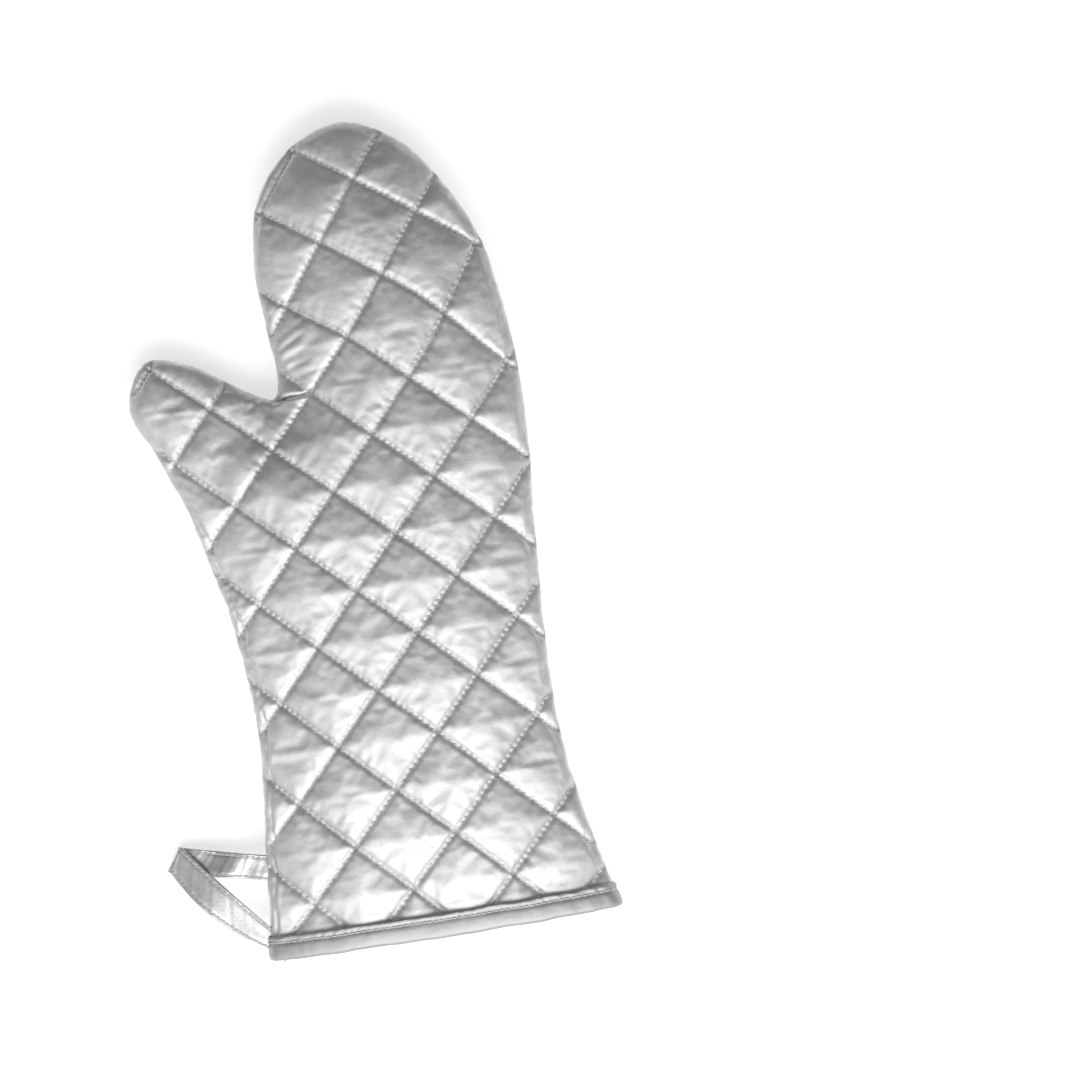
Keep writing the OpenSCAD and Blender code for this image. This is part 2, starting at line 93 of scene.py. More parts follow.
# The quilting, as in the CAD source
QUILT_START = (-12, 26)
QUILT_HALF = 25.7
QUILT_SIDE = QUILT_HALF * math.sqrt(2)
QUILT_DRIFT = 0.0002
TILT = 0.17
TILT_FROM = 285
TILT_OVER = 45
TILT_MIDDLE = 8
TILT_EDGE = -60
TILT_EDGE_OVER = 15
TILT_ROUNDS = 12
STITCHES_PER_SIDE = 11
STITCH_PITCH = QUILT_SIDE / STITCHES_PER_SIDE

SPACING = 2.4
SEED = 7
# The grid's points: how far they are shaken, and how far they stay from the rim and from lines,
# as shares of the spacing
GRID_SHAKE = 0.12
GRID_FROM_RIM = 0.6
GRID_FROM_LINES = 0.52


def eased(v):
    v = np.clip(v, 0, 1)
    return v * v * (3 - 2 * v)


def unit(v):
    return v / np.maximum(np.linalg.norm(v, axis=-1, keepdims=True), 1e-9)


NOISE_VALUES = 4096
NOISE_STRIDES = (1, 57, 3251)
NOISE_SHIFT = 64


def noise(points, size, seed):
    """Smooth noise from -1 to 1 over points in up to three dimensions, with lumps of about that size."""
    table = np.random.default_rng(seed).uniform(-1, 1, NOISE_VALUES)
    at = points / size + NOISE_SHIFT
    low = np.floor(at).astype(int)
    share = eased(at - low)
    total = np.zeros(len(points))
    dims = points.shape[1]
    for corner in range(2 ** dims):
        weight = np.ones(len(points))
        index = np.zeros(len(points), int)
        for axis in range(dims):
            up = corner >> axis & 1
            weight *= share[:, axis] if up else 1 - share[:, axis]
            index += (low[:, axis] + up) * NOISE_STRIDES[axis]
        total += weight * table[index % NOISE_VALUES]
    return total


# ---- The outline ----

def smooth_curve(points, per_span):
    """The smooth curve through the points, as in the CAD source."""
    points = np.array(points, float)
    chords = np.diff(points, axis=0)
    reach = np.linalg.norm(chords, axis=1)[:, None]
    units = chords / reach
    middle = (units[1:] * reach[:-1] + units[:-1] * reach[1:]) / (reach[1:] + reach[:-1])
    slopes = np.vstack([units[:1], middle, units[-1:]])
    shares = (np.arange(per_span) / per_span)[:, None]
    spans = [
        points[i] * (2 * shares ** 3 - 3 * shares ** 2 + 1)
        + slopes[i] * reach[i] * (shares ** 3 - 2 * shares ** 2 + shares)
        + points[i + 1] * (3 * shares ** 2 - 2 * shares ** 3)
        + slopes[i + 1] * reach[i] * (shares ** 3 - shares ** 2)
        for i in range(len(chords))]
    return np.vstack(spans + [points[-1:]])


EDGE_STEPS = 16
EDGE = smooth_curve(OUTLINE, EDGE_STEPS)
CROTCH_AT = CROTCH_PLACE * EDGE_STEPS


def nearest_on_edge(points, chunk=3000):
    """The nearest point of the outline to each point, and its distance."""
    start, along = EDGE[:-1], np.diff(EDGE, axis=0)
    squared = (along * along).sum(1)
    near = np.empty_like(points)
    for k in range(0, len(points), chunk):
        away = points[k:k + chunk, None, :] - start
        share = np.clip((away * along).sum(2) / squared, 0, 1)
        gap = away - share[..., None] * along
        best = (gap * gap).sum(2).argmin(1)
        rows = np.arange(len(best))
        near[k:k + chunk] = start[best] + share[rows, best][:, None] * along[best]
    return near, np.linalg.norm(points - near, axis=1)


def is_inside(points, loop=EDGE):
    inside = np.zeros(len(points), bool)
    for a, b in zip(loop, np.roll(loop, -1, axis=0)):
        if a[1] != b[1]:
            crossing_x = a[0] + (points[:, 1] - a[1]) / (b[1] - a[1]) * (b[0] - a[0])
            inside ^= ((a[1] > points[:, 1]) != (b[1] > points[:, 1])) & (points[:, 0] < crossing_x)
    return inside


# ---- The developed plane ----
# The rounded border is wider along the cloth than in plan. The mesh is laid out in a plane where
# the border has its real width, so that its triangles are even on the cloth.

def edge_profile(q):
    """Share of the full height at a share of the border's width: steep at first, then gentle."""
    q = np.clip(q, 0, 1)
    steep = np.minimum(q / EDGE_STEEP, 1)
    return EDGE_SHARE * np.sqrt(1 - (1 - steep) ** 2) + (1 - EDGE_SHARE) * (1 - (1 - q) ** 2)


BORDER_STEPS = 500
BORDER_D = EDGE_ROUND * np.linspace(0, 1, BORDER_STEPS) ** 2
BORDER_Z = HALF_LOFT * edge_profile(BORDER_D / EDGE_ROUND)
BORDER_S = np.concatenate([[0], np.cumsum(np.hypot(np.diff(BORDER_D), np.diff(BORDER_Z)))])
BORDER_EXTRA = BORDER_S[-1] - EDGE_ROUND
CROTCH_REACH = 25
HALVINGS = 24


def spare_width(distance):
    """How much wider the cloth is than its plan, from here to the flat middle."""
    on_cloth = np.interp(distance, BORDER_D, BORDER_S)
    return np.where(distance < EDGE_ROUND, distance - on_cloth + BORDER_EXTRA, 0)


def crotch_share(near):
    return eased(np.linalg.norm(near - CROTCH, axis=1) / CROTCH_REACH)


def developed(points):
    near, distance = nearest_on_edge(points)
    return points - unit(points - near) * (crotch_share(near) * spare_width(distance))[:, None]


def plan_of(points):
    """Plan places of points in the developed plane, and how far they lie inside its outline."""
    near, distance = nearest_on_edge(points)
    sign = np.where(is_inside(points), 1, -1)
    signed = distance * sign
    share = crotch_share(near)
    low, high = np.zeros(len(points)), np.full(len(points), float(EDGE_ROUND))
    for _ in range(HALVINGS):
        middle = (low + high) / 2
        short = middle - share * spare_width(middle) < signed
        low, high = np.where(short, middle, low), np.where(short, high, middle)
    inward = unit(points - near) * sign[:, None]
    plan = near + inward * np.where(signed > EDGE_ROUND, signed, low)[:, None]
    return plan, signed + share * BORDER_EXTRA


THUMB_HALF = 20
THUMB_FULLNESS = 1.35
THUMB_START = -25
THUMB_OVER = 35
THUMB_RIGHT = -20
THUMB_RIGHT_OVER = 24


def rise_distance(plan, distance):
    """The distance from the outline that sets a face's height. It levels out along the thumb's
    middle, so that the thumb's top is round and has no ridge."""
    beyond = (plan - THUMB_ROOT) @ THUMB_OUT
    share = eased((beyond - THUMB_START) / THUMB_OVER) * eased((THUMB_RIGHT - plan[:, 0]) / THUMB_RIGHT_OVER)
    reach = np.minimum(distance, THUMB_HALF)
    level = THUMB_FULLNESS * (reach - reach ** 2 / (2 * THUMB_HALF))
    return distance + share * (level - distance)


def half_loft(y):
    return HALF_LOFT - CUFF_SQUEEZE * (1 - eased((y - BINDING_HEIGHT) / CUFF_RISE))


def face_height(y, distance):
    """Height of the CAD's outer face above the seam."""
    return half_loft(y) * edge_profile(distance / EDGE_ROUND)


# ---- The quilting ----
# Lines of one family have a whole number u, and lines of the other a whole number v.

def tilt_at(x, y):
    share = eased((y - TILT_FROM) / TILT_OVER) * eased((x - TILT_EDGE) / TILT_EDGE_OVER)
    return TILT * share * (x - TILT_MIDDLE)


def quilt_point(u, v):
    across, along = u + v, v - u
    x = QUILT_START[0] + across * QUILT_HALF - QUILT_DRIFT * (along * QUILT_HALF) ** 2
    y = QUILT_START[1] + along * QUILT_HALF
    return np.stack([x, y + tilt_at(x, y)], axis=-1)


def quilt_place(points):
    """(u, v) of plan points."""
    x, y = points[:, 0], points[:, 1]
    flat_y = y
    for _ in range(TILT_ROUNDS):
        flat_y = y - tilt_at(x, flat_y)
    along = (flat_y - QUILT_START[1]) / QUILT_HALF
    across = (x - QUILT_START[0] + QUILT_DRIFT * (along * QUILT_HALF) ** 2) / QUILT_HALF
    return (across - along) / 2, (across + along) / 2


# ---- The plan mesh ----

class PlanMesh:
    """Points with a place in plan and in the developed plane, and the edges that the mesh keeps."""

    def __init__(self):
        self.developed, self.plan, self.edges, self.known = [], [], [], {}
        self.lines = []

    def add(self, developed_point, plan_point):
        key = (round(plan_point[0], 3), round(plan_point[1], 3))
        if key not in self.known:
            self.known[key] = len(self.plan)
            self.developed.append(developed_point)
            self.plan.append(plan_point)
        return self.known[key]

    def add_line(self, developed_points, plan_points):
        ids = [self.add(d, p) for d, p in zip(developed_points, plan_points)]
        self.edges += [(a, b) for a, b in zip(ids, ids[1:]) if a != b]
        return ids


def picked(rows, at):
    """Rows of numbers read at places between the rows."""
    return np.column_stack([np.interp(at, np.arange(len(rows)), column) for column in rows.T])


def lengths_along(line):
    """Distance along a line of points from its start to each of them."""
    return np.concatenate([[0], np.cumsum(np.linalg.norm(np.diff(line, axis=0), axis=1))])


def spread_out(developed_line, plan_line, step):
    """The line again, at even steps along the cloth, with its ends kept."""
    s = lengths_along(developed_line)
    count = max(1, int(round(s[-1] / step)))
    at = np.interp(np.linspace(0, s[-1], count + 1), s, np.arange(len(s)))
    return picked(developed_line, at), picked(plan_line, at)


def flags_at(ids, count):
    """That many flags, of which the ones with these ids are true."""
    flags = np.zeros(count, bool)
    flags[ids] = True
    return flags


def ids_on_back(mesh):
    """For each point of a panel's mesh, its number on the back of the closed skin."""
    rim = flags_at(mesh.rim, len(mesh.plan))
    return np.where(rim, np.arange(len(rim)), len(rim) + np.cumsum(~rim) - 1)


def runs_of(flags):
    """(first, last) of each run of true flags."""
    padded = np.concatenate([[False], flags, [False]])
    changes = np.flatnonzero(padded[1:] != padded[:-1])
    return [(a, b - 1) for a, b in zip(changes[::2], changes[1::2])]


LINE_REACH = range(-9, 13)
LINE_LOOKS = 60
LINE_END = 0.15
LINE_START_Y = 2.5
CREASE_END = quilt_point(np.array([-5.0]), np.array([5.0]))[0]


def add_quilting(mesh):
    """Adds every quilting line, with exact crossings and a point at each needle hole."""
    other = np.arange(LINE_REACH[0], LINE_REACH[-1], 1 / LINE_LOOKS)
    whole = abs(other - np.round(other)) < 0.001
    for family in (0, 1):
        for index in LINE_REACH:
            same = np.full(len(other), float(index))
            plan = quilt_point(same, other) if family == 0 else quilt_point(other, same)
            near, distance = nearest_on_edge(plan)
            ok = is_inside(plan) & (distance > LINE_END) & (plan[:, 1] > LINE_START_Y)
            for first, last in runs_of(ok):
                cuts = [first] + [i for i in range(first + 1, last) if whole[i]] + [last]
                line = []
                for a, b in zip(cuts, cuts[1:]):
                    if b - a > 1:
                        part = plan[a:b + 1]
                        ids = mesh.add_line(*spread_out(developed(part), part, STITCH_PITCH / 2))
                        line += ids if not line else ids[1:]
                if len(line) > 3:
                    mesh.lines.append(line)


def add_rim(mesh):
    """Adds the outline and the cuff's edge."""
    inward = unit(np.gradient(EDGE, axis=0))[:, ::-1] * (1, -1)
    rim = EDGE - inward * (crotch_share(EDGE) * BORDER_EXTRA)[:, None]
    halves = [
        spread_out(rim[part], EDGE[part], SPACING)
        for part in (slice(0, CROTCH_AT + 1), slice(CROTCH_AT, None))]
    rim, plan = (np.vstack([halves[0][k], halves[1][k][1:]]) for k in (0, 1))
    mesh.rim = mesh.add_line(rim, plan)
    count = int(2 * CUFF_X / SPACING)
    cuff = np.linspace(rim[-1], rim[0], count + 1)
    cuff_plan = plan_of(cuff + (0, 0.001))[0] * (1, 0)
    cuff_plan[0], cuff_plan[-1] = plan[-1], plan[0]
    mesh.cuff = mesh.add_line(cuff, cuff_plan)
    crotch_id = np.abs(plan - CROTCH).sum(1).argmin()
    crease = np.linspace(plan[crotch_id], CREASE_END, 100)
    on_cloth = np.vstack([rim[crotch_id], developed(crease[1:])])
    mesh.add_line(*spread_out(on_cloth, crease, STITCH_PITCH / 2))


ROW_SHARE = math.sqrt(3) / 2
GRID_X = (-135, 110)
GRID_TOP = 430
GRID_BOTTOM = 1


def even_grid(spacing, start_y):
    """Points of even triangles over the whole outline and past it."""
    xs, ys = np.meshgrid(np.arange(*GRID_X, spacing), np.arange(start_y, GRID_TOP, spacing * ROW_SHARE))
    xs[1::2] += spacing / 2
    return np.stack([xs.ravel(), ys.ravel()], 1)


def triangles_of(places, edges, loop_ids):
    """Triangles between the places that keep the edges, inside a loop of some of the places."""
    made = delaunay_2d_cdt([Vector(place) for place in places], edges, [], 0, 1e-5, True)
    order = np.array([came_from[0] if came_from else -1 for came_from in made[3]])
    faces = order[np.array(made[2])]
    flat = np.array(places)
    return faces[is_inside(flat[faces].mean(axis=1), flat[loop_ids]) & (faces.min(axis=1) >= 0)]


def add_grid(mesh):
    """Fills the rest of the developed plane with an even, slightly shaken grid."""
    grid = even_grid(SPACING, SPACING)
    grid += np.random.default_rng(SEED).uniform(-GRID_SHAKE, GRID_SHAKE, grid.shape) * SPACING
    plan, depth = plan_of(grid)
    ok = (depth > GRID_FROM_RIM * SPACING) & (plan[:, 1] > GRID_BOTTOM)
    tree = KDTree(len(mesh.developed))
    for i, p in enumerate(mesh.developed):
        tree.insert((p[0], p[1], 0), i)
    tree.balance()
    for point, place in zip(grid[ok], plan[ok]):
        if tree.find((point[0], point[1], 0))[2] > GRID_FROM_LINES * SPACING:
            mesh.add(point, place)


def plan_mesh():
    """The triangles of one panel, with each point's plan place, distance and rise as arrays."""
    mesh = PlanMesh()
    add_rim(mesh)
    add_quilting(mesh)
    add_grid(mesh)
    mesh.faces = triangles_of(mesh.developed, mesh.edges, mesh.rim + mesh.cuff[1:-1])
    mesh.plan = np.array(mesh.plan)
    mesh.distance = nearest_on_edge(mesh.plan)[1]
    mesh.distance[mesh.rim] = 0
    mesh.rise = rise_distance(mesh.plan, mesh.distance)
    return mesh


# ---- The closed skin and its simulation ----

LINE_DEPTH = 2.9
LINE_SLOPE = 6
LINE_UNEVEN = 0.3
SEAM_FADE = 6
BASE_DROP = 0.6
CUFF_DROP = 0.3
CUFF_PINNED = BINDING_HEIGHT - 0.2
FRAMES = 20
CLOTH = {
    "quality": 5, "mass": 0.1, "tension_stiffness": 15, "compression_stiffness": 15,
    "shear_stiffness": 5, "bending_stiffness": 3, "tension_damping": 5, "compression_damping": 5,
    "shear_damping": 5, "air_damping": 1, "use_pressure": True, "uniform_pressure_force": 6,
    "shrink_min": -0.006, "vertex_group_mass": "pinned"}
THUMB_LINE = -5


def closed_skin(mesh):
    """Both faces of the skin as one mesh: points, faces, and for each point its plan point and side."""
    count = len(mesh.plan)
    rim = flags_at(mesh.rim, count)
    source = np.concatenate([np.arange(count), np.flatnonzero(~rim)])
    side = np.concatenate([np.where(rim, 0, 1), np.full((~rim).sum(), -1)])
    heights = face_height(mesh.plan[source, 1], mesh.rise[source])
    points = np.column_stack([mesh.plan[source], side * heights])
    faces = np.vstack([mesh.faces, ids_on_back(mesh)[mesh.faces][:, ::-1]])
    return points, faces, source, side


def normals_of(points, faces):
    corner = points[faces]
    face = np.cross(corner[:, 1] - corner[:, 0], corner[:, 2] - corner[:, 0])
    normals = np.zeros_like(points)
    for k in range(3):
        np.add.at(normals, faces[:, k], face)
    return unit(normals)


def mesh_object(name, points, faces):
    """An object from points in millimetres of the mitt's plane, moved into the row frame."""
    mesh = bpy.data.meshes.new(name)
    placed = (np.asarray(points) + SHIFT) * MM
    mesh.from_pydata(placed.tolist(), [], [tuple(map(int, face)) for face in faces])
    mesh.update()
    made = bpy.data.objects.new(name, mesh)
    bpy.context.scene.collection.objects.link(made)
    return made


def places_of(mesh):
    flat = np.zeros(len(mesh.vertices) * 3, np.float32)
    mesh.vertices.foreach_get("co", flat)
    return flat.reshape(-1, 3).astype(float) / MM - SHIFT


def line_distance(u, v):
    return QUILT_SIDE * np.minimum(abs(u - np.round(u)), abs(v - np.round(v)))


def simulate(points, faces, pinned):
    """The skin blown up between its pinned lines by Blender's Cloth, as an array of points."""
    skin = mesh_object("simulated_skin", points, faces)
    group = skin.vertex_groups.new(name="pinned")
    group.add(np.flatnonzero(pinned).tolist(), 1, "REPLACE")
    cloth = skin.modifiers.new("cloth", "CLOTH")
    for name, value in CLOTH.items():
        setattr(cloth.settings, name, value)
    cloth.settings.effector_weights.gravity = 0
    cloth.point_cache.frame_start = 1
    cloth.point_cache.frame_end = FRAMES
    scene = bpy.context.scene
    for number in range(1, FRAMES + 1):
        scene.frame_set(number)
    shown = skin.evaluated_get(bpy.context.evaluated_depsgraph_get()).to_mesh()
    result = places_of(shown)
    scene.frame_set(1)
    bpy.data.objects.remove(skin)
    return result


def in_thumb(points):
    """Whether plan points are beyond the quilting line and the crease that bound the thumb."""
    u = quilt_place(points)[0]
    crease_y = CROTCH[1] + np.maximum(0, CROTCH[0] - points[:, 0])
    return (u < THUMB_LINE) & (points[:, 1] < crease_y)


class Skin:
    """The closed skin: points, faces, and what each point and face keeps through subdivision."""

    def __init__(self, mesh):
        self.points, self.faces, source, side = closed_skin(mesh)
        self.plan = mesh.plan[source]
        self.on_line = flags_at(sum(mesh.lines, []), len(mesh.plan))[source]
        half = len(mesh.faces)
        thumb = in_thumb(mesh.plan[mesh.faces].mean(axis=1))
        self.region = np.concatenate([thumb, 2 + thumb]).astype(int)
        self.border = np.interp(mesh.distance, BORDER_D, BORDER_S)[source]
        self.side = side.astype(float)

    def normals(self):
        return normals_of(self.points, self.faces)

    def subdivide(self):
        """One Loop subdivision. Everything a point keeps is halved along with its edges."""
        count = len(self.points)
        pairs = np.vstack([self.faces[:, [0, 1]], self.faces[:, [1, 2]], self.faces[:, [2, 0]]])
        opposite = np.concatenate([self.faces[:, 2], self.faces[:, 0], self.faces[:, 1]])
        edges, edge_of = np.unique(np.sort(pairs, axis=1), axis=0, return_inverse=True)
        edge_of = edge_of.ravel()
        uses = np.bincount(edge_of)
        across = np.zeros((len(edges), 3))
        np.add.at(across, edge_of, self.points[opposite])
        ends = self.points[edges[:, 0]] + self.points[edges[:, 1]]
        inner = uses == 2
        middle = np.where(inner[:, None], 0.375 * ends + 0.125 * across, 0.5 * ends)
        around, number = np.zeros((count, 3)), np.zeros(count)
        for a, b in ((0, 1), (1, 0)):
            np.add.at(around, edges[:, a], self.points[edges[:, b]])
            np.add.at(number, edges[:, a], 1)
        open_ends = np.unique(edges[~inner])
        weight = (0.625 - (0.375 + 0.25 * np.cos(2 * math.pi / number)) ** 2) / number
        moved = self.points * (1 - number * weight)[:, None] + around * weight[:, None]
        moved[open_ends] = self.points[open_ends]
        for name in ("plan", "border", "side", "on_line"):
            kept = getattr(self, name).astype(float)
            setattr(self, name, np.concatenate([kept, (kept[edges[:, 0]] + kept[edges[:, 1]]) / 2]))
        self.points = np.vstack([moved, middle])
        ab, bc, ca = (count + edge_of[k * len(self.faces):(k + 1) * len(self.faces)] for k in range(3))
        a, b, c = self.faces.T
        self.faces = np.vstack([
            np.column_stack(corners)
            for corners in ((a, ab, ca), (ab, b, bc), (ca, bc, c), (ab, bc, ca))])
        self.region = np.tile(self.region, 4)


def quilted_start(skin):
    """The skin before it is blown up: lowered a little, and most along the quilting lines."""
    u, v = quilt_place(skin.plan)
    along_lines = LINE_DEPTH - BASE_DROP
    depth = BASE_DROP + along_lines * np.exp(-line_distance(u, v) / LINE_SLOPE)
    depth += LINE_UNEVEN * noise(skin.plan, 30, SEED) * np.exp(-line_distance(u, v) / LINE_SLOPE)
    depth *= eased(skin.border / SEAM_FADE)
    in_cuff = skin.plan[:, 1] < CUFF_PINNED
    depth[in_cuff] = CUFF_DROP
    return skin.points - skin.normals() * depth[:, None], (skin.on_line > 0.5) | in_cuff


# ---- Fine shape of the cloth ----

GROOVE_DEPTH = 0.9
GROOVE_WIDTH = 1.3
HOLE_DEPTH = 0.7
HOLE_WIDTH = 1.2
PUCKER_HEIGHT = 0.62
PUCKER_REACH = 3.6
PUCKER_SIZES = (2.8, 1.7)
# Size of the patches in which the puckers and the holes are stronger or weaker
PUCKER_PATCH = 25
HOLE_PATCH = 6
# Keeps the noise along one quilting line apart from its neighbour's
LINES_APART = 37
# Low wrinkles all over: height, size of the lumps, and how they are squeezed in x and y
WRINKLES = [(0.35, 19, (1, 1, 1)), (0.06, 8, (0.5, 1.3, 1)), (0.03, 4.2, (0.6, 1.4, 1))]
SIDES_APART = 60


def ridges(along, across, size, seed):
    """Narrow folds across a line: noise along it, different on its two sides."""
    flat = np.column_stack([along + 400 * np.sign(across) + 900, across * 0.35 + 50])
    return noise(flat, size, seed)


def line_details(skin, u, v):
    """Height over the cloth near the quilting lines: the groove, the needle holes and puckers."""
    height = np.zeros(len(u))
    for family, (own, other) in enumerate(((u, v), (v, u))):
        index = np.round(own)
        across = (own - index) * QUILT_SIDE
        along = other * QUILT_SIDE + LINES_APART * index
        away = abs(across)
        groove = np.exp(-(away / GROOVE_WIDTH) ** 2)
        stitch = (0.5 + 0.5 * np.cos(2 * math.pi * other * STITCHES_PER_SIDE)) ** 2
        tight = 0.6 + 0.4 * noise(skin.plan, HOLE_PATCH, 70 + family)
        by_hole = np.exp(-(away / HOLE_WIDTH) ** 2)
        height -= GROOVE_DEPTH * groove + HOLE_DEPTH * tight * stitch * by_hole
        fade = np.exp(-away / PUCKER_REACH) * (1 - by_hole)
        strength = 0.55 + 0.45 * noise(skin.plan, PUCKER_PATCH, 40 + family)
        wide, narrow = (
            ridges(along, across, size, seed + family)
            for size, seed in zip(PUCKER_SIZES, (50, 60)))
        folds = wide + 0.5 * narrow
        height += PUCKER_HEIGHT * strength * fade * folds
    return height


def soft_wrinkles(skin):
    """Low wrinkles all over, a little stretched along the cloth's width."""
    place = np.column_stack([skin.plan, SIDES_APART * (skin.side > 0)])
    return sum(
        height * noise(place * squeeze, size, seed)
        for seed, (height, size, squeeze) in enumerate(WRINKLES, 1))


def segment_place(points, a, b):
    """Share along the segment from a to b, and signed distance from it."""
    a, b = np.array(a, float), np.array(b, float)
    along = b - a
    share = ((points - a) @ along) / (along @ along)
    near = a + np.clip(share, 0, 1)[:, None] * along
    gap = np.linalg.norm(points - near, axis=1)
    left = (along[0] * (points[:, 1] - a[1]) - along[1] * (points[:, 0] - a[0])) > 0
    return share, np.where(left, gap, -gap)


CROTCH_CREASE = ((-44, 283), (-25, 283))
# Folds of the cloth beside the crotch: start, end, depth and half width
FOLDS = [
    (*CROTCH_CREASE, 4.2, 1.3),
    ((-40, 290), (-16, 294), 0.4, 1.5),
    ((-41, 294), (-20, 300), 0.45, 1.2),
    ((-42, 298), (-16, 309), 0.4, 1.6),
    ((-42, 303), (-24, 313), 0.5, 1.2),
    ((-43, 309), (-18, 322), 0.4, 1.7),
    ((-43, 316), (-28, 327), 0.45, 1.3),
    ((-43, 323), (-24, 335), 0.35, 1.7),
    ((-50, 285), (-58, 277), 0.5, 1.2),
    ((-56, 288), (-60, 279), 0.3, 1.3),
    ((-64, 293), (-66, 282), 0.3, 1.5),
    ((-45, 281), (-52, 268), 0.4, 1.4)]


def fold_details(skin):
    height = np.zeros(len(skin.plan))
    for start, end, depth, width in FOLDS:
        share, gap = segment_place(skin.plan, start, end)
        ends = eased((1.15 - share) / 0.5)
        height -= depth * ends * np.exp(-(gap / width) ** 2)
    return height


LIP_PLACE = 2.2
LIP_WIDTH = 1.8
LIP_MOVE = np.array((0, -1.9, 1.0))


def crotch_fold(skin):
    """Moves the cloth on the fingers' side of the deepest fold over it, as an overhanging lip."""
    share, gap = segment_place(skin.plan, *CROTCH_CREASE)
    lip = eased((1.1 - share) / 0.4) * np.exp(-((gap - LIP_PLACE) / LIP_WIDTH) ** 2)
    lip = lip * eased(gap) * (skin.side > 0)
    return lip[:, None] * LIP_MOVE


GATHER_HEIGHT = 0.45
GATHER_REACH = 6
GATHER_SIZES = (4.0, 2.2)
# Place along the seam, as a turn round the mitt's middle
SEAM_CENTRE_Y = 200
SEAM_RADIUS = 150
# A groove beside the seam, by the cuff and by the fingers: how far in, depth and half width
CUFF_SIDE_GROOVE = (3.6, 1.0, 0.8)
FINGER_SIDE_GROOVE = (4.6, 0.12, 0.7)


def seam_details(skin):
    """The side seam: the cloth is gathered by it, which leaves short folds across the edge."""
    along = np.arctan2(skin.plan[:, 1] - SEAM_CENTRE_Y, skin.plan[:, 0]) * SEAM_RADIUS
    place = np.column_stack([along, skin.border * 0.3, 30 * skin.side])
    gathers = noise(place, GATHER_SIZES[0], 11) + 0.5 * noise(place, GATHER_SIZES[1], 12)
    height = GATHER_HEIGHT * gathers * np.exp(-skin.border / GATHER_REACH) * eased(skin.border / 1.5)
    x, y = skin.plan.T
    by_cuff = eased((-20 - x) / 10) * eased((250 - y) / 20)
    by_finger = eased((10 - x) / 10) * eased((y - 284) / 6) * eased((405 - y) / 15)
    inward = np.interp(skin.border, BORDER_S, BORDER_D)
    for share, (place, depth, width) in ((by_cuff, CUFF_SIDE_GROOVE), (by_finger, FINGER_SIDE_GROOVE)):
        away = inward - place
        height -= share * depth * np.exp(-(away / width) ** 2)
        height += share * 0.6 * depth * gathers * np.exp(-(away / 3) ** 2)
    return height


RIM_FADE = 2.5
LOWEST = 0.05
CUFF_FADE = 4


def add_details(skin):
    u, v = quilt_place(skin.plan)
    height = line_details(skin, u, v) + soft_wrinkles(skin) + fold_details(skin)
    height *= eased(skin.border / RIM_FADE)
    height += seam_details(skin)
    height *= eased((skin.plan[:, 1] - BINDING_HEIGHT + CUFF_FADE) / CUFF_FADE)
    skin.points = skin.points + skin.normals() * height[:, None] + crotch_fold(skin)
    skin.points[:, 2] = np.maximum(skin.points[:, 2], LOWEST - SEAM_HIGH)


# ---- Small builders ----

def smooth_shaded(made):
    made.data.polygons.foreach_set("use_smooth", [True] * len(made.data.polygons))
    made.data.update()
    return made


def part_of(name, points, faces):
    """A piece of some triangles of a mesh, with only the points that they use."""
    used, faces = np.unique(faces, return_inverse=True)
    return smooth_shaded(mesh_object(name, points[used], faces.reshape(-1, 3)))


def tube_faces(start, rings, corners):
    """Faces of a closed tube of rings of corners, whose first point has the number start."""
    faces = []
    for first in range(start, start + (rings - 1) * corners, corners):
        for c in range(corners):
            a, b = first + c, first + (c + 1) % corners
            faces.append((a, b, b + corners, a + corners))
    last = start + (rings - 1) * corners
    return faces + [tuple(range(start, start + corners))[::-1], tuple(range(last, last + corners))]


class Parts:
    """Points and faces of many small closed forms, gathered into one piece."""

    def __init__(self):
        self.points, self.faces = [], []

    def tube(self, path, radii, up, corners=6, flat=1.0):
        """A closed tube along path. flat below 1 makes it lower than it is wide."""
        path, up = np.asarray(path, float), np.asarray(up, float)
        along = unit(np.gradient(path, axis=0))
        side = unit(np.cross(along, up))
        over = np.cross(side, along)
        start = len(self.points)
        for k, centre in enumerate(path):
            for c in range(corners):
                a = 2 * math.pi * c / corners
                way = math.cos(a) * side[k] + flat * math.sin(a) * over[k]
                self.points.append(centre + radii[k] * way)
        self.faces += tube_faces(start, len(path), corners)

    def piece(self, name):
        return smooth_shaded(mesh_object(name, self.points, self.faces))


THREAD = 0.36
THREAD_START = 4
# A stitch from hole to hole: share of its length, height over the cloth and share of its thickness
STITCH = [
    (0.06, -0.30, 0.5), (0.16, 0.16, 0.9), (0.35, 0.34, 1),
    (0.65, 0.34, 1), (0.84, 0.16, 0.9), (0.94, -0.30, 0.5)]


def add_stitch(parts, hole, middle, next_hole, up, thread=THREAD):
    """One stitch: a thread that comes up at one needle hole, lies over the cloth and goes down."""
    path = []
    for share, high, _ in STITCH:
        near, far = (hole, middle) if share < 0.5 else (middle, next_hole)
        path.append(near + (far - near) * (2 * share % 1) + up * high * thread / THREAD)
    parts.tube(path, [thread * size for _, _, size in STITCH], np.tile(up, (len(STITCH), 1)), flat=0.75)


def quilting_threads(mesh, skin, back_ids):
    """The quilting's stitches, gathered for the palm, its thumb, the back and its thumb."""
    normals = skin.normals()
    groups = [Parts() for _ in range(4)]
    for line in mesh.lines:
        for is_back in (0, 1):
            ids = back_ids[line] if is_back else line
            for a, b, c in zip(ids[::2], ids[1::2], ids[2::2]):
                if skin.plan[b][1] < BINDING_HEIGHT + 0.3 or skin.border[b] < THREAD_START:
                    continue
                thumb = int(in_thumb(skin.plan[b:b + 1])[0])
                add_stitch(groups[2 * is_back + thumb], *skin.points[[a, b, c]], normals[b])
    return groups


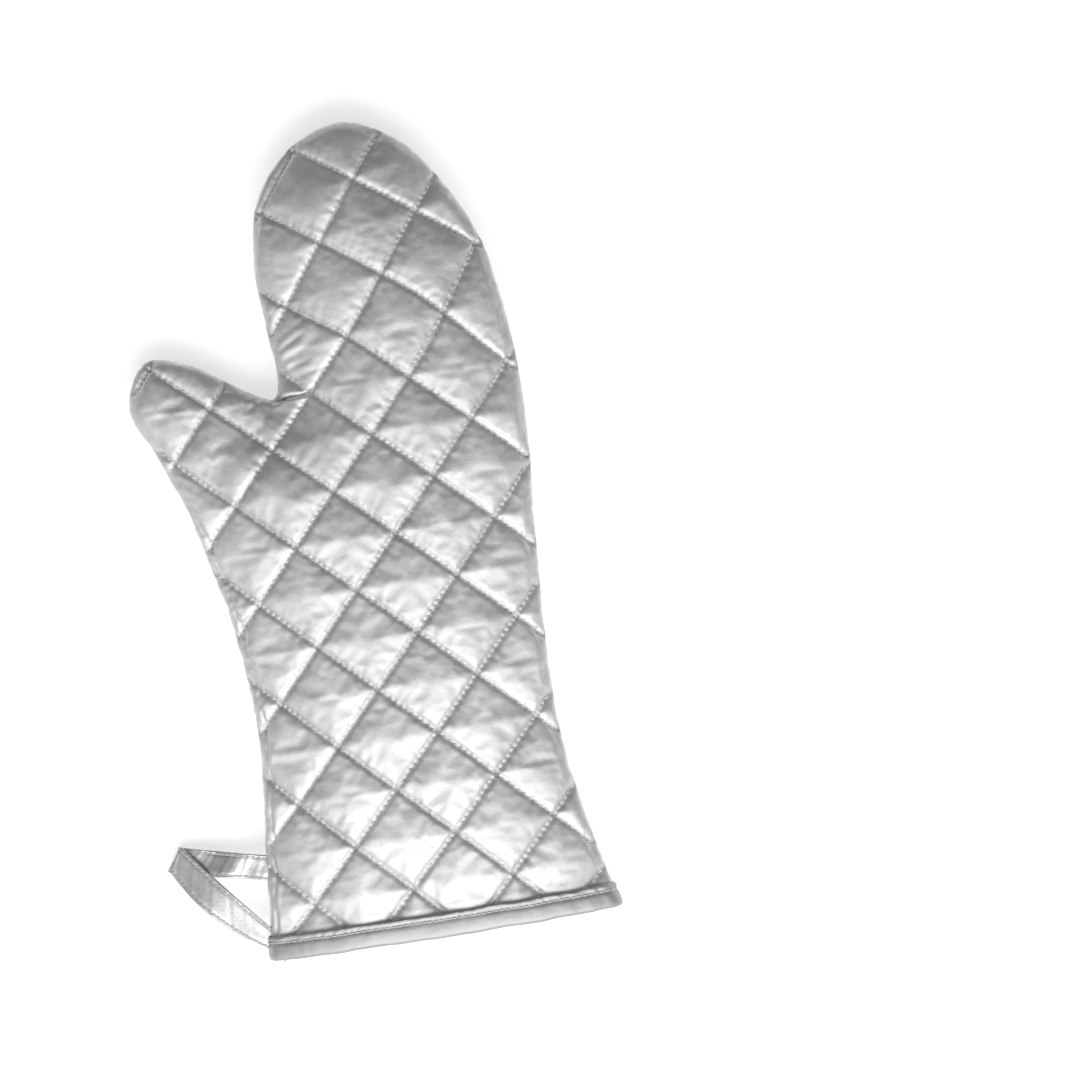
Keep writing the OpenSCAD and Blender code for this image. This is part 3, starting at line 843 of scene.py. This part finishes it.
# ---- Cuff ----

def cuff_loop(y, inset, count):
    """Points (x, z) round the cuff at a height along the mitt, and the directions out of it."""
    left, right = np.interp(y, *edge_side(0)), np.interp(y, *edge_side(1))
    half = (right - left) / 2 - inset
    middle = (left + right) / 2
    reach = EDGE_ROUND - inset
    shares = np.linspace(0, 1, 80) ** 2
    height = (half_loft(np.array([y]))[0] - inset) * edge_profile(shares)
    x = np.concatenate([-half + reach * shares, half - reach * shares[::-1]])
    z = np.concatenate([height, height[::-1]])
    loop = np.vstack([np.column_stack([x, z]), np.column_stack([x[::-1], -z[::-1]])[1:-1]])
    closed = np.vstack([loop, loop[:1]])
    s = lengths_along(closed)
    at = np.linspace(0, s[-1], count, endpoint=False)
    even = np.column_stack([np.interp(at, s, closed[:, k]) for k in (0, 1)])
    along = unit(np.roll(even, -1, axis=0) - np.roll(even, 1, axis=0))
    return even + (middle, 0), np.column_stack([-along[:, 1], along[:, 0]])


def edge_side(right):
    """(heights, x) of one side of the outline near the cuff, for interpolation."""
    part = (EDGE[::-1] if right else EDGE)[:3 * EDGE_STEPS]
    return part[:, 1], part[:, 0]


CUFF_COLUMNS = 420
WALL = 6
STITCH_Y = 8.9
STITCH_OUT = 0.72
BINDING_PITCH = 3.1
# The binding's section: (how far out of the skin, height along the mitt), from the top edge of its
# outer side, down round the cuff's edge and up on its inner side
BINDING_OUTER = [
    (-0.5, 11.4), (-0.2, 12.0), (0.3, 12.2), (0.75, 12.0), (1.0, 11.4), (1.0, 10.6), (0.8, 9.7),
    (0.45, 8.9), (0.75, 8.2), (1.05, 7.2), (1.15, 6.0), (1.2, 4.4), (1.15, 2.6), (0.95, 1.2), (0.5, 0.2),
    (-0.6, -0.3), (-3.0, -0.4), (-5.4, -0.3), (-6.7, 0.1), (-7.15, 1.0), (-7.3, 3.0), (-7.3, 6.0),
    (-7.2, 8.3), (-6.8, 8.9), (-7.2, 9.6), (-7.2, 10.6), (-6.9, 11.4), (-6.3, 11.8)]
# and back along its inner face, which lies against the cloth
BINDING_UNDER = [(-5.9, 11.0), (-6.0, 6.0), (-5.6, 0.9), (-0.3, 0.9), (0.1, 6.0), (0.05, 11.0)]
CUFF_TURN = np.arange(CUFF_COLUMNS) / CUFF_COLUMNS * 2 * math.pi
CUFF_NOISE_RADIUS = 62


def around_noise(size, seed, row=0.0):
    """Smooth noise round the cuff that meets itself."""
    ring = CUFF_NOISE_RADIUS * np.column_stack([np.cos(CUFF_TURN), np.sin(CUFF_TURN)])
    return noise(np.column_stack([ring, np.full(CUFF_COLUMNS, row)]), size, seed)


def cuff_waver(y):
    """How much the binding's edges wander along the mitt."""
    low_edge = 0.8 * around_noise(16, 21) + 0.3 * around_noise(5, 22)
    return low_edge * (0.35 if y > 8 else 0.6)


def binding_wave(k, y, out):
    """Gathers above the binding's stitching and soft waves in the band below it."""
    gathers = around_noise(2.1, 23, k * 0.4) * 0.42 + around_noise(4.5, 24, k * 0.3) * 0.25
    welt = math.exp(-((y - 10.4) / 1.5) ** 2) if out > -2 else 0.5 * math.exp(-((y - 10) / 1.5) ** 2)
    band = 0.3 * around_noise(9, 25, k * 0.5) + 0.16 * around_noise(3.2, 26, k * 0.4)
    return gathers * welt + band * (1 - welt)


def no_wave(k, y, out):
    return np.zeros(CUFF_COLUMNS)


def cuff_point_rows(section, wave):
    """Rows of points round the cuff for a section of (out, height) points."""
    rows = []
    for k, (out, y) in enumerate(section):
        is_outer = out > -WALL / 2
        loop, outward = cuff_loop(max(y, 0), 0.0 if is_outer else float(WALL), CUFF_COLUMNS)
        extra = out if is_outer else -(out + WALL)
        way = outward if is_outer else -outward
        place = loop + way * (extra + wave(k, y, out))[:, None]
        rows.append(np.column_stack([place[:, 0], y + cuff_waver(y), place[:, 1]]))
    return np.array(rows)


def ring_piece(name, rows):
    """A closed piece from rows of points that each go round: a tube bent into a ring."""
    sections, columns = rows.shape[:2]
    faces = []
    for i in range(sections):
        up = (i + 1) % sections
        for j in range(columns):
            right = (j + 1) % columns
            faces.append((i * columns + j, up * columns + j, up * columns + right, i * columns + right))
    return smooth_shaded(mesh_object(name, rows.reshape(-1, 3), faces))


def cuff_binding():
    rows = [cuff_point_rows(BINDING_OUTER, binding_wave), cuff_point_rows(BINDING_UNDER, no_wave)]
    return ring_piece("cuff_binding_cloth", np.vstack(rows))


def add_stitch_row(parts, path, up, places, thread=THREAD):
    """Stitches along a path that is given as rows, from one needle hole to the next but one place."""
    path, up = picked(path, places), unit(picked(up, places))
    for k in range(0, len(places) - 2, 2):
        add_stitch(parts, path[k], path[k + 1], path[k + 2], up[k + 1], thread)


def binding_stitches():
    """The row of stitches in the binding's groove, on its outer side."""
    row = cuff_point_rows([(STITCH_OUT, STITCH_Y)], binding_wave)[0]
    outward = cuff_loop(STITCH_Y, 0.0, CUFF_COLUMNS)[1]
    up = np.column_stack([outward[:, 0], np.zeros(CUFF_COLUMNS), outward[:, 1]])
    row, up = np.vstack([row, row[:1]]), np.vstack([up, up[:1]])
    count = int(lengths_along(row)[-1] / BINDING_PITCH)
    parts = Parts()
    add_stitch_row(parts, row, up, np.linspace(0, CUFF_COLUMNS, 2 * count + 1))
    return parts.piece("binding_stitches")


# ---- Hanging loop ----

STRAP_WIDTH = 13
STRAP_THICK = 1.5
SEWN_IN = 7
RUN_OUT_START = 41
RUN_BACK_START = 6.5
FOLD_LOW = np.array((1000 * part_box("hanging_loop")[0].x - SHIFT[0] + 1.9, 51.0))
FOLD_HIGH = FOLD_LOW + (8, 12)
LOOP_DROOP = 8
LOW_EDGE_WAY = np.array((-0.74, -0.67))
BOW = 4.2
FOLD_TURN = 1.4
HINGE_OUT = 2.2
STRAP_RUN = 45
SEWN_SECTIONS = 6
RUN_SECTIONS = 44
FOLD_SECTIONS = 12
# How each run of the strap twists: height, waves and where they start
OUT_ROLL = (-2.2, 9.5, 0.3)
BACK_ROLL = (0.8, 9, 2)
STRAP_STITCH_PITCH = 2.8
STRAP_THREAD = 0.28
STRAP_SEAMS = (0.12, 0.88)


def seam_x(y):
    return np.interp(y, *edge_side(0))


def strap_line():
    """Sections of the strap, from its outward run's sewn-in end round the fold to its other end.
    Each is (low edge, high edge, direction out of the face that shows at the fold's outside)."""
    fold_away = unit(FOLD_HIGH - FOLD_LOW)
    fold_out = np.array((-fold_away[1], fold_away[0]))

    def run(f, start, outward):
        """A section a share f of the way out, of the run that starts there on the seam."""
        hinge_low = np.array((seam_x(start) - HINGE_OUT, start))
        hinge_high = np.array((seam_x(start + STRAP_WIDTH) - HINGE_OUT, start + STRAP_WIDTH))
        low = hinge_low * (1 - f) + FOLD_LOW * f
        high = hinge_high * (1 - f) + FOLD_HIGH * f
        z = -LOOP_DROOP * f * abs(f) + outward * FOLD_TURN * min(1, max(0, 2 * f))
        free = 4 * max(0, f) * (1 - f)
        if outward > 0:
            low = low + LOW_EDGE_WAY * BOW * free
        height, waves, turn = BACK_ROLL if outward > 0 else OUT_ROLL
        roll = height * math.sin(waves * f + turn) * free
        out = unit(np.array((0, -roll / STRAP_WIDTH, 1.0))) * outward
        return np.append(low, z + roll), np.append(high, z - 0.4 * roll), out

    inner = -(SEWN_IN + HINGE_OUT) / STRAP_RUN
    shares = np.concatenate([np.linspace(inner, 0, SEWN_SECTIONS)[:-1], np.linspace(0, 1, RUN_SECTIONS)])
    sections = [run(f, RUN_OUT_START, -1) for f in shares]
    for angle in np.linspace(-math.pi / 2, math.pi / 2, FOLD_SECTIONS)[1:-1]:
        away = np.append(fold_out * math.cos(angle), math.sin(angle))
        sections.append((
            np.append(FOLD_LOW, -LOOP_DROOP) + FOLD_TURN * away,
            np.append(FOLD_HIGH, -LOOP_DROOP) + FOLD_TURN * away, away))
    sections += [run(f, RUN_BACK_START, 1) for f in shares[::-1]]
    return sections


# The strap's section: (share of its width, height over its middle as a share of its thickness)
STRAP_SECTION = [
    (0.0, 0.0), (0.012, 0.33), (0.045, 0.5), (0.085, 0.42), (0.12, 0.3), (0.16, 0.42), (0.24, 0.47),
    (0.36, 0.42), (0.5, 0.40), (0.64, 0.42), (0.76, 0.47), (0.84, 0.42), (0.88, 0.3), (0.915, 0.42),
    (0.955, 0.5), (0.988, 0.33)]


def strap_wave(k, share):
    slow = 0.16 * math.sin(k * 0.83 + 5 * share) * math.sin(k * 0.37 + 1)
    return slow + 0.1 * math.sin(k * 1.9 + 9 * share)


def hanging_loop():
    sections = strap_line()
    ring = STRAP_SECTION + [(1.0, 0.0)] + [(share, -high) for share, high in STRAP_SECTION[:0:-1]]
    points = []
    for k, (low, high, out) in enumerate(sections):
        for share, height in ring:
            lift = height * STRAP_THICK + strap_wave(k, share)
            points.append(low + (high - low) * share + out * lift)
    faces = tube_faces(0, len(sections), len(ring))
    return smooth_shaded(mesh_object("hanging_loop_strap", points, faces)), sections


def strap_stitches(sections):
    """A row of stitches along each edge of the strap, on both of its faces."""
    parts = Parts()
    for share in STRAP_SEAMS:
        for sign in (1, -1):
            path = []
            for k, (low, high, out) in enumerate(sections):
                lift = 0.3 * STRAP_THICK + 0.1 + sign * strap_wave(k, share)
                path.append(low + (high - low) * share + out * sign * lift)
            path = np.array(path)
            up = np.array([out * sign for low, high, out in sections])
            s = lengths_along(path)
            count = int(s[-1] / STRAP_STITCH_PITCH)
            places = np.interp(np.linspace(0, s[-1], 2 * count + 1), s, np.arange(len(s)))
            add_stitch_row(parts, path, up, places, STRAP_THREAD)
    return parts.piece("loop_stitches")


# ---- What is inside: lining, batting and the side seam's thread ----

INSIDE_SPACING = 4.5
INSIDE_START = 1.0
# Rings of points in the border of an inside layer: depth past its edge, share of the usual spacing
INSIDE_RINGS = [(0, 0.6), (0.35, 0.7), (1.4, 0.8), (3.4, 0.9)]
PINCH_REACH = 5
LINING_INSET = WALL + 0.6
LINING_PINCH = 1.9
BATTING_INSET = 2.6
BATTING_PINCH = 4.0
BATTING_END = WALL - 0.4
BATTING_END_PINCH = 1.3
LINING_UNDER_SKIN = 1.7
BATTING_UNDER_SKIN = 1.0
LEAST_BATTING = 0.3
CREASE_DROP = 2.8


def inset_line(inset):
    inward = unit(np.gradient(EDGE, axis=0))[:, ::-1] * (1, -1)
    line = EDGE + inward * inset
    line[0, 1] = line[-1, 1] = 0
    return line


def inside_mesh(inset, spacing):
    """A plain plan mesh whose outline is inset, with finer rings in its border."""
    mesh = PlanMesh()
    rings = []
    for depth, step in INSIDE_RINGS:
        line = inset_line(inset + depth)
        line = line[line[:, 1] > INSIDE_START]
        left, right = (
            (np.interp(INSIDE_START, *edge_side(side)) + way * (inset + depth), INSIDE_START)
            for side, way in ((0, 1), (1, -1)))
        line = np.vstack([left, line, right])
        line = spread_out(line, line, spacing * step)[1]
        rings.append(mesh.add_line(line, line))
    mesh.rim = rings[0]
    ends = [mesh.plan[ring[-1]] for ring in rings] + [mesh.plan[ring[0]] for ring in rings[::-1]]
    a, b = ends[3], ends[4]
    middle = [a + (b - a) * s for s in np.linspace(0, 1, int((a[0] - b[0]) / spacing) + 1)[1:-1]]
    row = ends[:4] + middle + ends[4:]
    mesh.cuff = mesh.add_line(row, row)
    grid = even_grid(spacing, INSIDE_START + spacing * ROW_SHARE)
    distance = nearest_on_edge(grid)[1]
    for point in grid[is_inside(grid) & (distance > inset + INSIDE_RINGS[-1][0] + 0.5 * spacing)]:
        mesh.add(point, point)
    mesh.faces = triangles_of(mesh.plan, mesh.edges, mesh.rim + mesh.cuff[1:-1])
    mesh.plan = np.array(mesh.plan)
    mesh.distance = nearest_on_edge(mesh.plan)[1]
    mesh.distance[mesh.rim] = inset
    mesh.rise = inset + rise_distance(mesh.plan, mesh.distance - inset)
    return mesh


def inset_height(y, distance, inset):
    return (half_loft(y) - inset) * edge_profile((distance - inset) / (EDGE_ROUND - inset))


def pinched_layers(plan):
    """Share by which the layers inside are pinched together: 1 at the quilting lines, fading off."""
    return np.exp(-line_distance(*quilt_place(plan)) / PINCH_REACH)


def past_binding(y):
    return eased((y - BINDING_HEIGHT + 1) / 6)


def crease_drop(plan):
    """How much deeper the layers inside lie under the crease beside the thumb."""
    return CREASE_DROP * np.exp(-(segment_place(plan, *CROTCH_CREASE)[1] / 6) ** 2)


def room_under(skin, plan):
    """Height of the skin over plan points on the palm's side and on the back's side."""
    tree = BVHTree.FromPolygons(skin.points.tolist(), skin.faces.tolist())
    rooms = []
    for side in (1, -1):
        heights = []
        for x, y in plan:
            hit = tree.ray_cast(Vector((x, y, side * 2 * HALF_LOFT)), Vector((0, 0, -side)))[0]
            heights.append(side * hit.z if hit else 0)
        rooms.append(np.array(heights))
    return rooms


def lining_pieces(skin):
    """The lining as a closed sleeve, in its two bodies' pieces. It dips at the quilting lines."""
    mesh = inside_mesh(WALL + 0.1, INSIDE_SPACING * 0.75)
    rim = flags_at(mesh.rim, len(mesh.plan))
    y = mesh.plan[:, 1]
    wrinkles = 0.15 * noise(mesh.plan, 9, 31) * eased((y - 8) / 10)
    pinched = pinched_layers(mesh.plan) * past_binding(y)
    height = inset_height(y, mesh.rise, LINING_INSET + LINING_PINCH * pinched) - crease_drop(mesh.plan)
    height = height + wrinkles * eased(height / 4)
    room = np.minimum(*room_under(skin, mesh.plan)) - LINING_UNDER_SKIN
    height = np.maximum(np.minimum(height, room), 0)
    thumb = in_thumb(mesh.plan[mesh.faces].mean(axis=1))
    back_id = np.arange(len(rim)) + np.where(rim, 0, len(rim))
    points = np.vstack([
        np.column_stack([mesh.plan, np.where(rim, 0, height)]),
        np.column_stack([mesh.plan, -height])])
    return [
        part_of(name, points, np.vstack([faces[:, ::-1], back_id[faces]]))
        for name, faces in (("lining", mesh.faces[~thumb]), ("lining_thumb", mesh.faces[thumb]))]


def batting_pieces(skin):
    """The batting as closed pads between the skin and the lining, one in each region."""
    mesh = inside_mesh(WALL + 0.8, INSIDE_SPACING)
    y = mesh.plan[:, 1]
    crease = crease_drop(mesh.plan)
    pinched = pinched_layers(mesh.plan)
    outer = inset_height(y, mesh.rise, BATTING_INSET + BATTING_PINCH * pinched) - crease
    end_inset = BATTING_END + BATTING_END_PINCH * pinched * past_binding(y)
    inner = inset_height(y, mesh.rise, end_inset) - crease
    outer = np.maximum(outer, inner + 0.1)
    thumb = in_thumb(mesh.plan[mesh.faces].mean(axis=1))
    pieces = []
    for side, name, room in zip((1, -1), ("batting_palm", "batting_back"), room_under(skin, mesh.plan)):
        high = np.minimum(outer, room - BATTING_UNDER_SKIN)
        low = np.minimum(inner, high - LEAST_BATTING)
        points = np.vstack([np.column_stack([mesh.plan, side * face]) for face in (high, low)])
        pieces.append(part_of(name, points, pad_faces(mesh.faces[~thumb], len(y), side)))
        pieces.append(part_of(name + "_thumb", points, pad_faces(mesh.faces[thumb], len(y), side)))
    return pieces


def pad_faces(faces, count, side):
    """Faces of a closed pad: its outer face, its inner face with ids count higher, and its walls."""
    walls = [wall for a, b in rim_edges(faces) for wall in ((a, a + count, b + count), (a, b + count, b))]
    return np.vstack([faces, faces[:, ::-1] + count, walls])[:, ::side]


def rim_edges(faces):
    """Directed edges that only one face has."""
    directed = {edge for a, b, c in faces.tolist() for edge in ((a, b), (b, c), (c, a))}
    return [edge for edge in directed if edge[::-1] not in directed]


def side_seam_pieces():
    """The side seam's thread, as stitches along the lining's edge."""
    line = inset_line(WALL + 0.5)
    line = line[line[:, 1] > BINDING_HEIGHT + 4]
    line = spread_out(line, line, 1.5)[1]
    groups = [Parts(), Parts()]
    for a, b, c in zip(line[::2], line[1::2], line[2::2]):
        thumb = int(in_thumb(b[None])[0])
        points = [np.append(p, 0) for p in (a, b, c)]
        add_stitch(groups[thumb], *points, np.array((0, 0, 1.0)), thread=0.4)
    return groups[0].piece("side_seam_stitches"), groups[1].piece("side_seam_stitches_thumb")


# ---- Materials ----

class Nodes:
    """Short names for making a material's nodes."""

    def __init__(self, name):
        self.material = bpy.data.materials.new(name)
        self.material.use_nodes = True
        self.tree = self.material.node_tree
        self.shader = self.tree.nodes["Principled BSDF"]
        self.place = self.tree.nodes.new("ShaderNodeTexCoord").outputs["Object"]

    def link(self, out, into):
        self.tree.links.new(out, into)

    def set(self, inputs, values):
        """Sets inputs, by name or number, to values, or links them to other nodes' outputs."""
        for name, value in values.items():
            if isinstance(value, bpy.types.NodeSocket):
                self.link(value, inputs[name])
            else:
                inputs[name].default_value = value

    def node(self, kind, out, values, **settings):
        """The named output of a new node with these input values."""
        node = self.tree.nodes.new(kind)
        for name, value in settings.items():
            setattr(node, name, value)
        self.set(node.inputs, values)
        return node.outputs[out]

    def noise(self, scale, detail=2.0, roughness=0.5, distortion=0.0):
        values = {"Scale": scale, "Detail": detail, "Roughness": roughness, "Distortion": distortion}
        return self.node("ShaderNodeTexNoise", "Fac", {**values, "Vector": self.place})

    def ramp(self, value, low, high, from_low, from_high):
        values = {"From Min": from_low, "From Max": from_high, "To Min": low, "To Max": high}
        return self.node("ShaderNodeMapRange", "Result", {**values, "Value": value})

    def mix(self, value, first, second):
        values = {0: value, 6: (*first, 1), 7: (*second, 1)}
        return self.node("ShaderNodeMix", 2, values, data_type="RGBA")

    def math(self, kind, first, second):
        return self.node("ShaderNodeMath", 0, {0: first, 1: second}, operation=kind)

    def bump(self, height, distance, strength, under=None):
        values = {"Strength": strength, "Distance": distance, "Height": height}
        if under:
            values["Normal"] = under
        return self.node("ShaderNodeBump", "Normal", values)

    def finish(self, **values):
        """The material, with the shader's inputs set. Their names have _ for a space here."""
        self.set(self.shader.inputs, {name.replace("_", " "): value for name, value in values.items()})
        return self.material


def silver_cloth(name, tone=1.0, rough=0.52):
    """Silver-coated cloth: a satin metal film with fine grain, mottling and soft crinkles."""
    n = Nodes(name)
    mottle = n.noise(210, 4, 0.6)
    patches = n.noise(45, 3, 0.55)
    both = n.math("ADD", n.math("MULTIPLY", mottle, 0.55), n.math("MULTIPLY", patches, 0.45))
    dark, light = (0.61 * tone, 0.61 * tone, 0.615 * tone), (0.74 * tone, 0.74 * tone, 0.74 * tone)
    grain = n.bump(n.noise(1500, 3, 0.6), 0.00016, 0.7)
    crinkles = n.bump(n.noise(330, 4, 0.55, 0.6), 0.0004, 0.25, grain)
    return n.finish(
        Base_Color=n.mix(n.ramp(both, 0, 1, 0.32, 0.68), dark, light),
        Roughness=n.ramp(both, rough - 0.06, rough + 0.10, 0.3, 0.7),
        Metallic=0.82,
        Normal=n.bump(n.noise(95, 3, 0.5, 0.3), 0.0008, 0.2, crinkles))


def woven_cloth(name, dark, light, rough):
    """Plain woven cloth, with its threads in both directions."""
    n = Nodes(name)
    values = {"Scale": 260, "Distortion": 1.5, "Detail": 2, "Vector": n.place}
    waves = [n.node("ShaderNodeTexWave", "Fac", values, bands_direction=way) for way in ("X", "Y")]
    return n.finish(
        Base_Color=n.mix(n.noise(120, 4, 0.6), dark, light),
        Roughness=rough,
        Normal=n.bump(n.math("MULTIPLY", *waves), 0.0004, 0.5))


def twisted_thread(name, dark, light):
    n = Nodes(name)
    return n.finish(
        Base_Color=n.mix(n.noise(900, 3, 0.6), dark, light),
        Roughness=0.55,
        Metallic=0.25,
        Normal=n.bump(n.noise(2600, 2, 0.5), 0.0002, 0.5))


def fluffy_fibre(name):
    n = Nodes(name)
    return n.finish(
        Base_Color=n.mix(n.noise(400, 5, 0.7), (0.80, 0.79, 0.76), (0.93, 0.92, 0.90)),
        Roughness=0.95,
        Normal=n.bump(n.noise(700, 5, 0.7), 0.001, 0.7))


# ---- Floor, lights and camera ----
# Places and sizes are in metres here, apart from the camera's target.

# The room's light fades along WORLD_WAY: (from, to, strength before, strength after)
WORLD_FADE = (-0.85, 0.65, 1.28, 0.12)
WORLD_WAY = (0.1, 0.995, 0)
# and it is darker near the horizon: (from height, to height, share below, share above)
WORLD_LOW = (0.0, 0.55, 0.2, 1.0)
KEY_PLACE = (0.05, -0.5, 0.75)
KEY_TARGET = (0.02, -0.15, 0)
KEY_SIZE = (0.9, 0.45)
KEY_POWER = 3.6
FLOOR_REACH = 6
FLOOR_DROP = 0.0005
FLOOR_GREYS = ((0.93, 0.93, 0.93), (0.95, 0.95, 0.95))
FLOOR_GLOW = 0.4


def add_floor():
    mesh = bpy.data.meshes.new("floor")
    corners = [(x * FLOOR_REACH, y * FLOOR_REACH, 0) for x, y in ((-1, -1), (1, -1), (1, 1), (-1, 1))]
    mesh.from_pydata(corners, [], [(0, 1, 2, 3)])
    floor = bpy.data.objects.new("floor", mesh)
    bpy.context.scene.collection.objects.link(floor)
    floor.location.z = -FLOOR_DROP
    n = Nodes("floor_white")
    grey = n.mix(n.noise(3, 2), *FLOOR_GREYS)
    floor.data.materials.append(n.finish(
        Base_Color=grey, Roughness=0.9, Emission_Color=(1, 1, 1, 1), Emission_Strength=FLOOR_GLOW))


def add_softbox():
    light = bpy.data.lights.new("key", "AREA")
    light.shape = "RECTANGLE"
    light.size, light.size_y = KEY_SIZE
    light.energy = KEY_POWER
    lamp = bpy.data.objects.new("key", light)
    bpy.context.scene.collection.objects.link(lamp)
    lamp.location = KEY_PLACE
    lamp.rotation_mode = "QUATERNION"
    lamp.rotation_quaternion = (Vector(KEY_TARGET) - Vector(KEY_PLACE)).to_track_quat("-Z", "Y")


def world_share(tree, place, way, fade):
    """A smooth fade of the room's light along one direction."""
    across = tree.nodes.new("ShaderNodeVectorMath")
    across.operation = "DOT_PRODUCT"
    across.inputs[1].default_value = way
    share = tree.nodes.new("ShaderNodeMapRange")
    share.interpolation_type = "SMOOTHSTEP"
    for socket, value in zip(("From Min", "From Max", "To Min", "To Max"), fade):
        share.inputs[socket].default_value = value
    tree.links.new(place.outputs["Generated"], across.inputs[0])
    tree.links.new(across.outputs["Value"], share.inputs["Value"])
    return share.outputs["Result"]


def add_lights():
    world = bpy.data.worlds.new("studio")
    world.use_nodes = True
    tree = world.node_tree
    place = tree.nodes.new("ShaderNodeTexCoord")
    both = tree.nodes.new("ShaderNodeMath")
    both.operation = "MULTIPLY"
    tree.links.new(world_share(tree, place, WORLD_WAY, WORLD_FADE), both.inputs[0])
    tree.links.new(world_share(tree, place, (0, 0, 1), WORLD_LOW), both.inputs[1])
    tree.links.new(both.outputs[0], tree.nodes["Background"].inputs["Strength"])
    tree.nodes["Background"].inputs["Color"].default_value = (1, 1, 1, 1)
    bpy.context.scene.world = world
    add_softbox()
    bpy.context.scene.view_settings.view_transform = "Standard"
    bpy.context.scene.view_settings.look = "None"


# The place in the mitt's plane, in millimetres, that the camera looks straight down at
CAMERA_TARGET = (78.7, 190.4, 0)
CAMERA_HIGH = 1.5
CAMERA_UP = (0.156, 0.988, 0)
# In millimetres, as on a real camera
CAMERA_LENS = 98
CAMERA_SENSOR = 36


def add_camera():
    data = bpy.data.cameras.new("camera")
    data.lens = CAMERA_LENS
    data.sensor_width = CAMERA_SENSOR
    camera = bpy.data.objects.new("camera", data)
    bpy.context.scene.collection.objects.link(camera)
    camera.location = Vector(in_row(*CAMERA_TARGET)) + Vector((0, 0, CAMERA_HIGH))
    up = Vector(CAMERA_UP).normalized()
    right = up.cross(Vector((0, 0, 1)))
    camera.rotation_mode = "QUATERNION"
    camera.rotation_quaternion = Matrix((right, up, (0, 0, 1))).transposed().to_quaternion()
    bpy.context.scene.camera = camera


# ---- The mitt ----

def in_row(x, y, z=0):
    return tuple((np.array((x, y, z)) + SHIFT) * MM)


REGIONS = ("palm", "palm_thumb", "back", "back_thumb")


def finish_piece(made, material, slot, *replaced, blend=None):
    made.data.materials.append(material)
    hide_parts(*replaced)
    if blend == "fingers":
        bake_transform(made)
    elif blend == "thumb":
        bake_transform(made)
    elif blend:
        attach(made, blend)
    return made


def finish_region(made, region, layer, material, slot):
    """Finishes a layer's piece in one of the regions; it replaces that layer's nodes there."""
    side = region.split("_")[0]
    blend, bodies = ("thumb", ("thumb",)) if "thumb" in region else ("fingers", ("hand", "fingers"))
    finish_piece(made, material, slot, *[f"{layer}_{side}_{body}" for body in bodies], blend=blend)


def build_panels(thread):
    """The skin and its quilting threads. Gives back the skin."""
    silver = silver_cloth("silver_cloth_quilted")
    mesh = plan_mesh()
    skin = Skin(mesh)
    skin.points, pinned = quilted_start(skin)
    skin.points = simulate(skin.points, skin.faces, pinned)
    back_ids = ids_on_back(mesh)
    skin.subdivide()
    add_details(skin)
    for number, region in enumerate(REGIONS):
        made = part_of(region, skin.points, skin.faces[skin.region == number])
        finish_region(made, region, "outer", silver, "silver_cloth")
    for region, parts in zip(REGIONS, quilting_threads(mesh, skin, back_ids)):
        made = parts.piece(f"quilting_{region}_stitches")
        finish_region(made, region, "quilting", thread, "thread")
    return skin


def build_inside(skin):
    fibre = fluffy_fibre("batting_fibre")
    for region, made in zip(REGIONS, batting_pieces(skin)):
        finish_region(made, region, "batting", fibre, "batting")
    cotton = woven_cloth("lining_cotton", (0.62, 0.62, 0.64), (0.74, 0.74, 0.75), 0.85)
    lining, lining_thumb = lining_pieces(skin)
    replaced = [f"lining_{side}_{body}" for side in ("palm", "back") for body in ("hand", "fingers")]
    finish_piece(lining, cotton, "lining_cloth", *replaced, blend="fingers")
    replaced = ("lining_palm_thumb", "lining_back_thumb")
    finish_piece(lining_thumb, cotton, "lining_cloth", *replaced, blend="thumb")


def build_edges(thread):
    """The side seam and the cuff's binding."""
    seam, seam_thumb = side_seam_pieces()
    finish_piece(seam, thread, "thread", "side_seam_hand", "side_seam_fingers", blend="fingers")
    finish_piece(seam_thumb, thread, "thread", "side_seam_thumb", blend="thumb")
    # The binding's copy of the silver cloth is darker (tone 0.68): painted shade, which tones down its
    # bright reflection of the key light
    silver = silver_cloth("silver_cloth_binding_painted_shade", 0.68, 0.48)
    finish_piece(cuff_binding(), silver, "silver_cloth", "cuff_binding", blend="hand")
    finish_piece(binding_stitches(), thread, "thread", "binding_stitching", blend="hand")


def build_strap(thread):
    silver = silver_cloth("silver_cloth_plain", 0.90, 0.36)
    strap, sections = hanging_loop()
    finish_piece(strap, silver, "silver_cloth", "hanging_loop", "loop_ends")
    stitches = finish_piece(strap_stitches(sections), thread, "thread", "loop_stitching")
    for made in (strap, stitches):
        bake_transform(made)


def build_mitt():
    thread = twisted_thread("thread_grey", (0.60, 0.60, 0.62), (0.76, 0.76, 0.78))
    build_inside(build_panels(thread))
    build_edges(thread)
    build_strap(thread)


add_camera()
add_lights()
add_floor()
build_mitt()
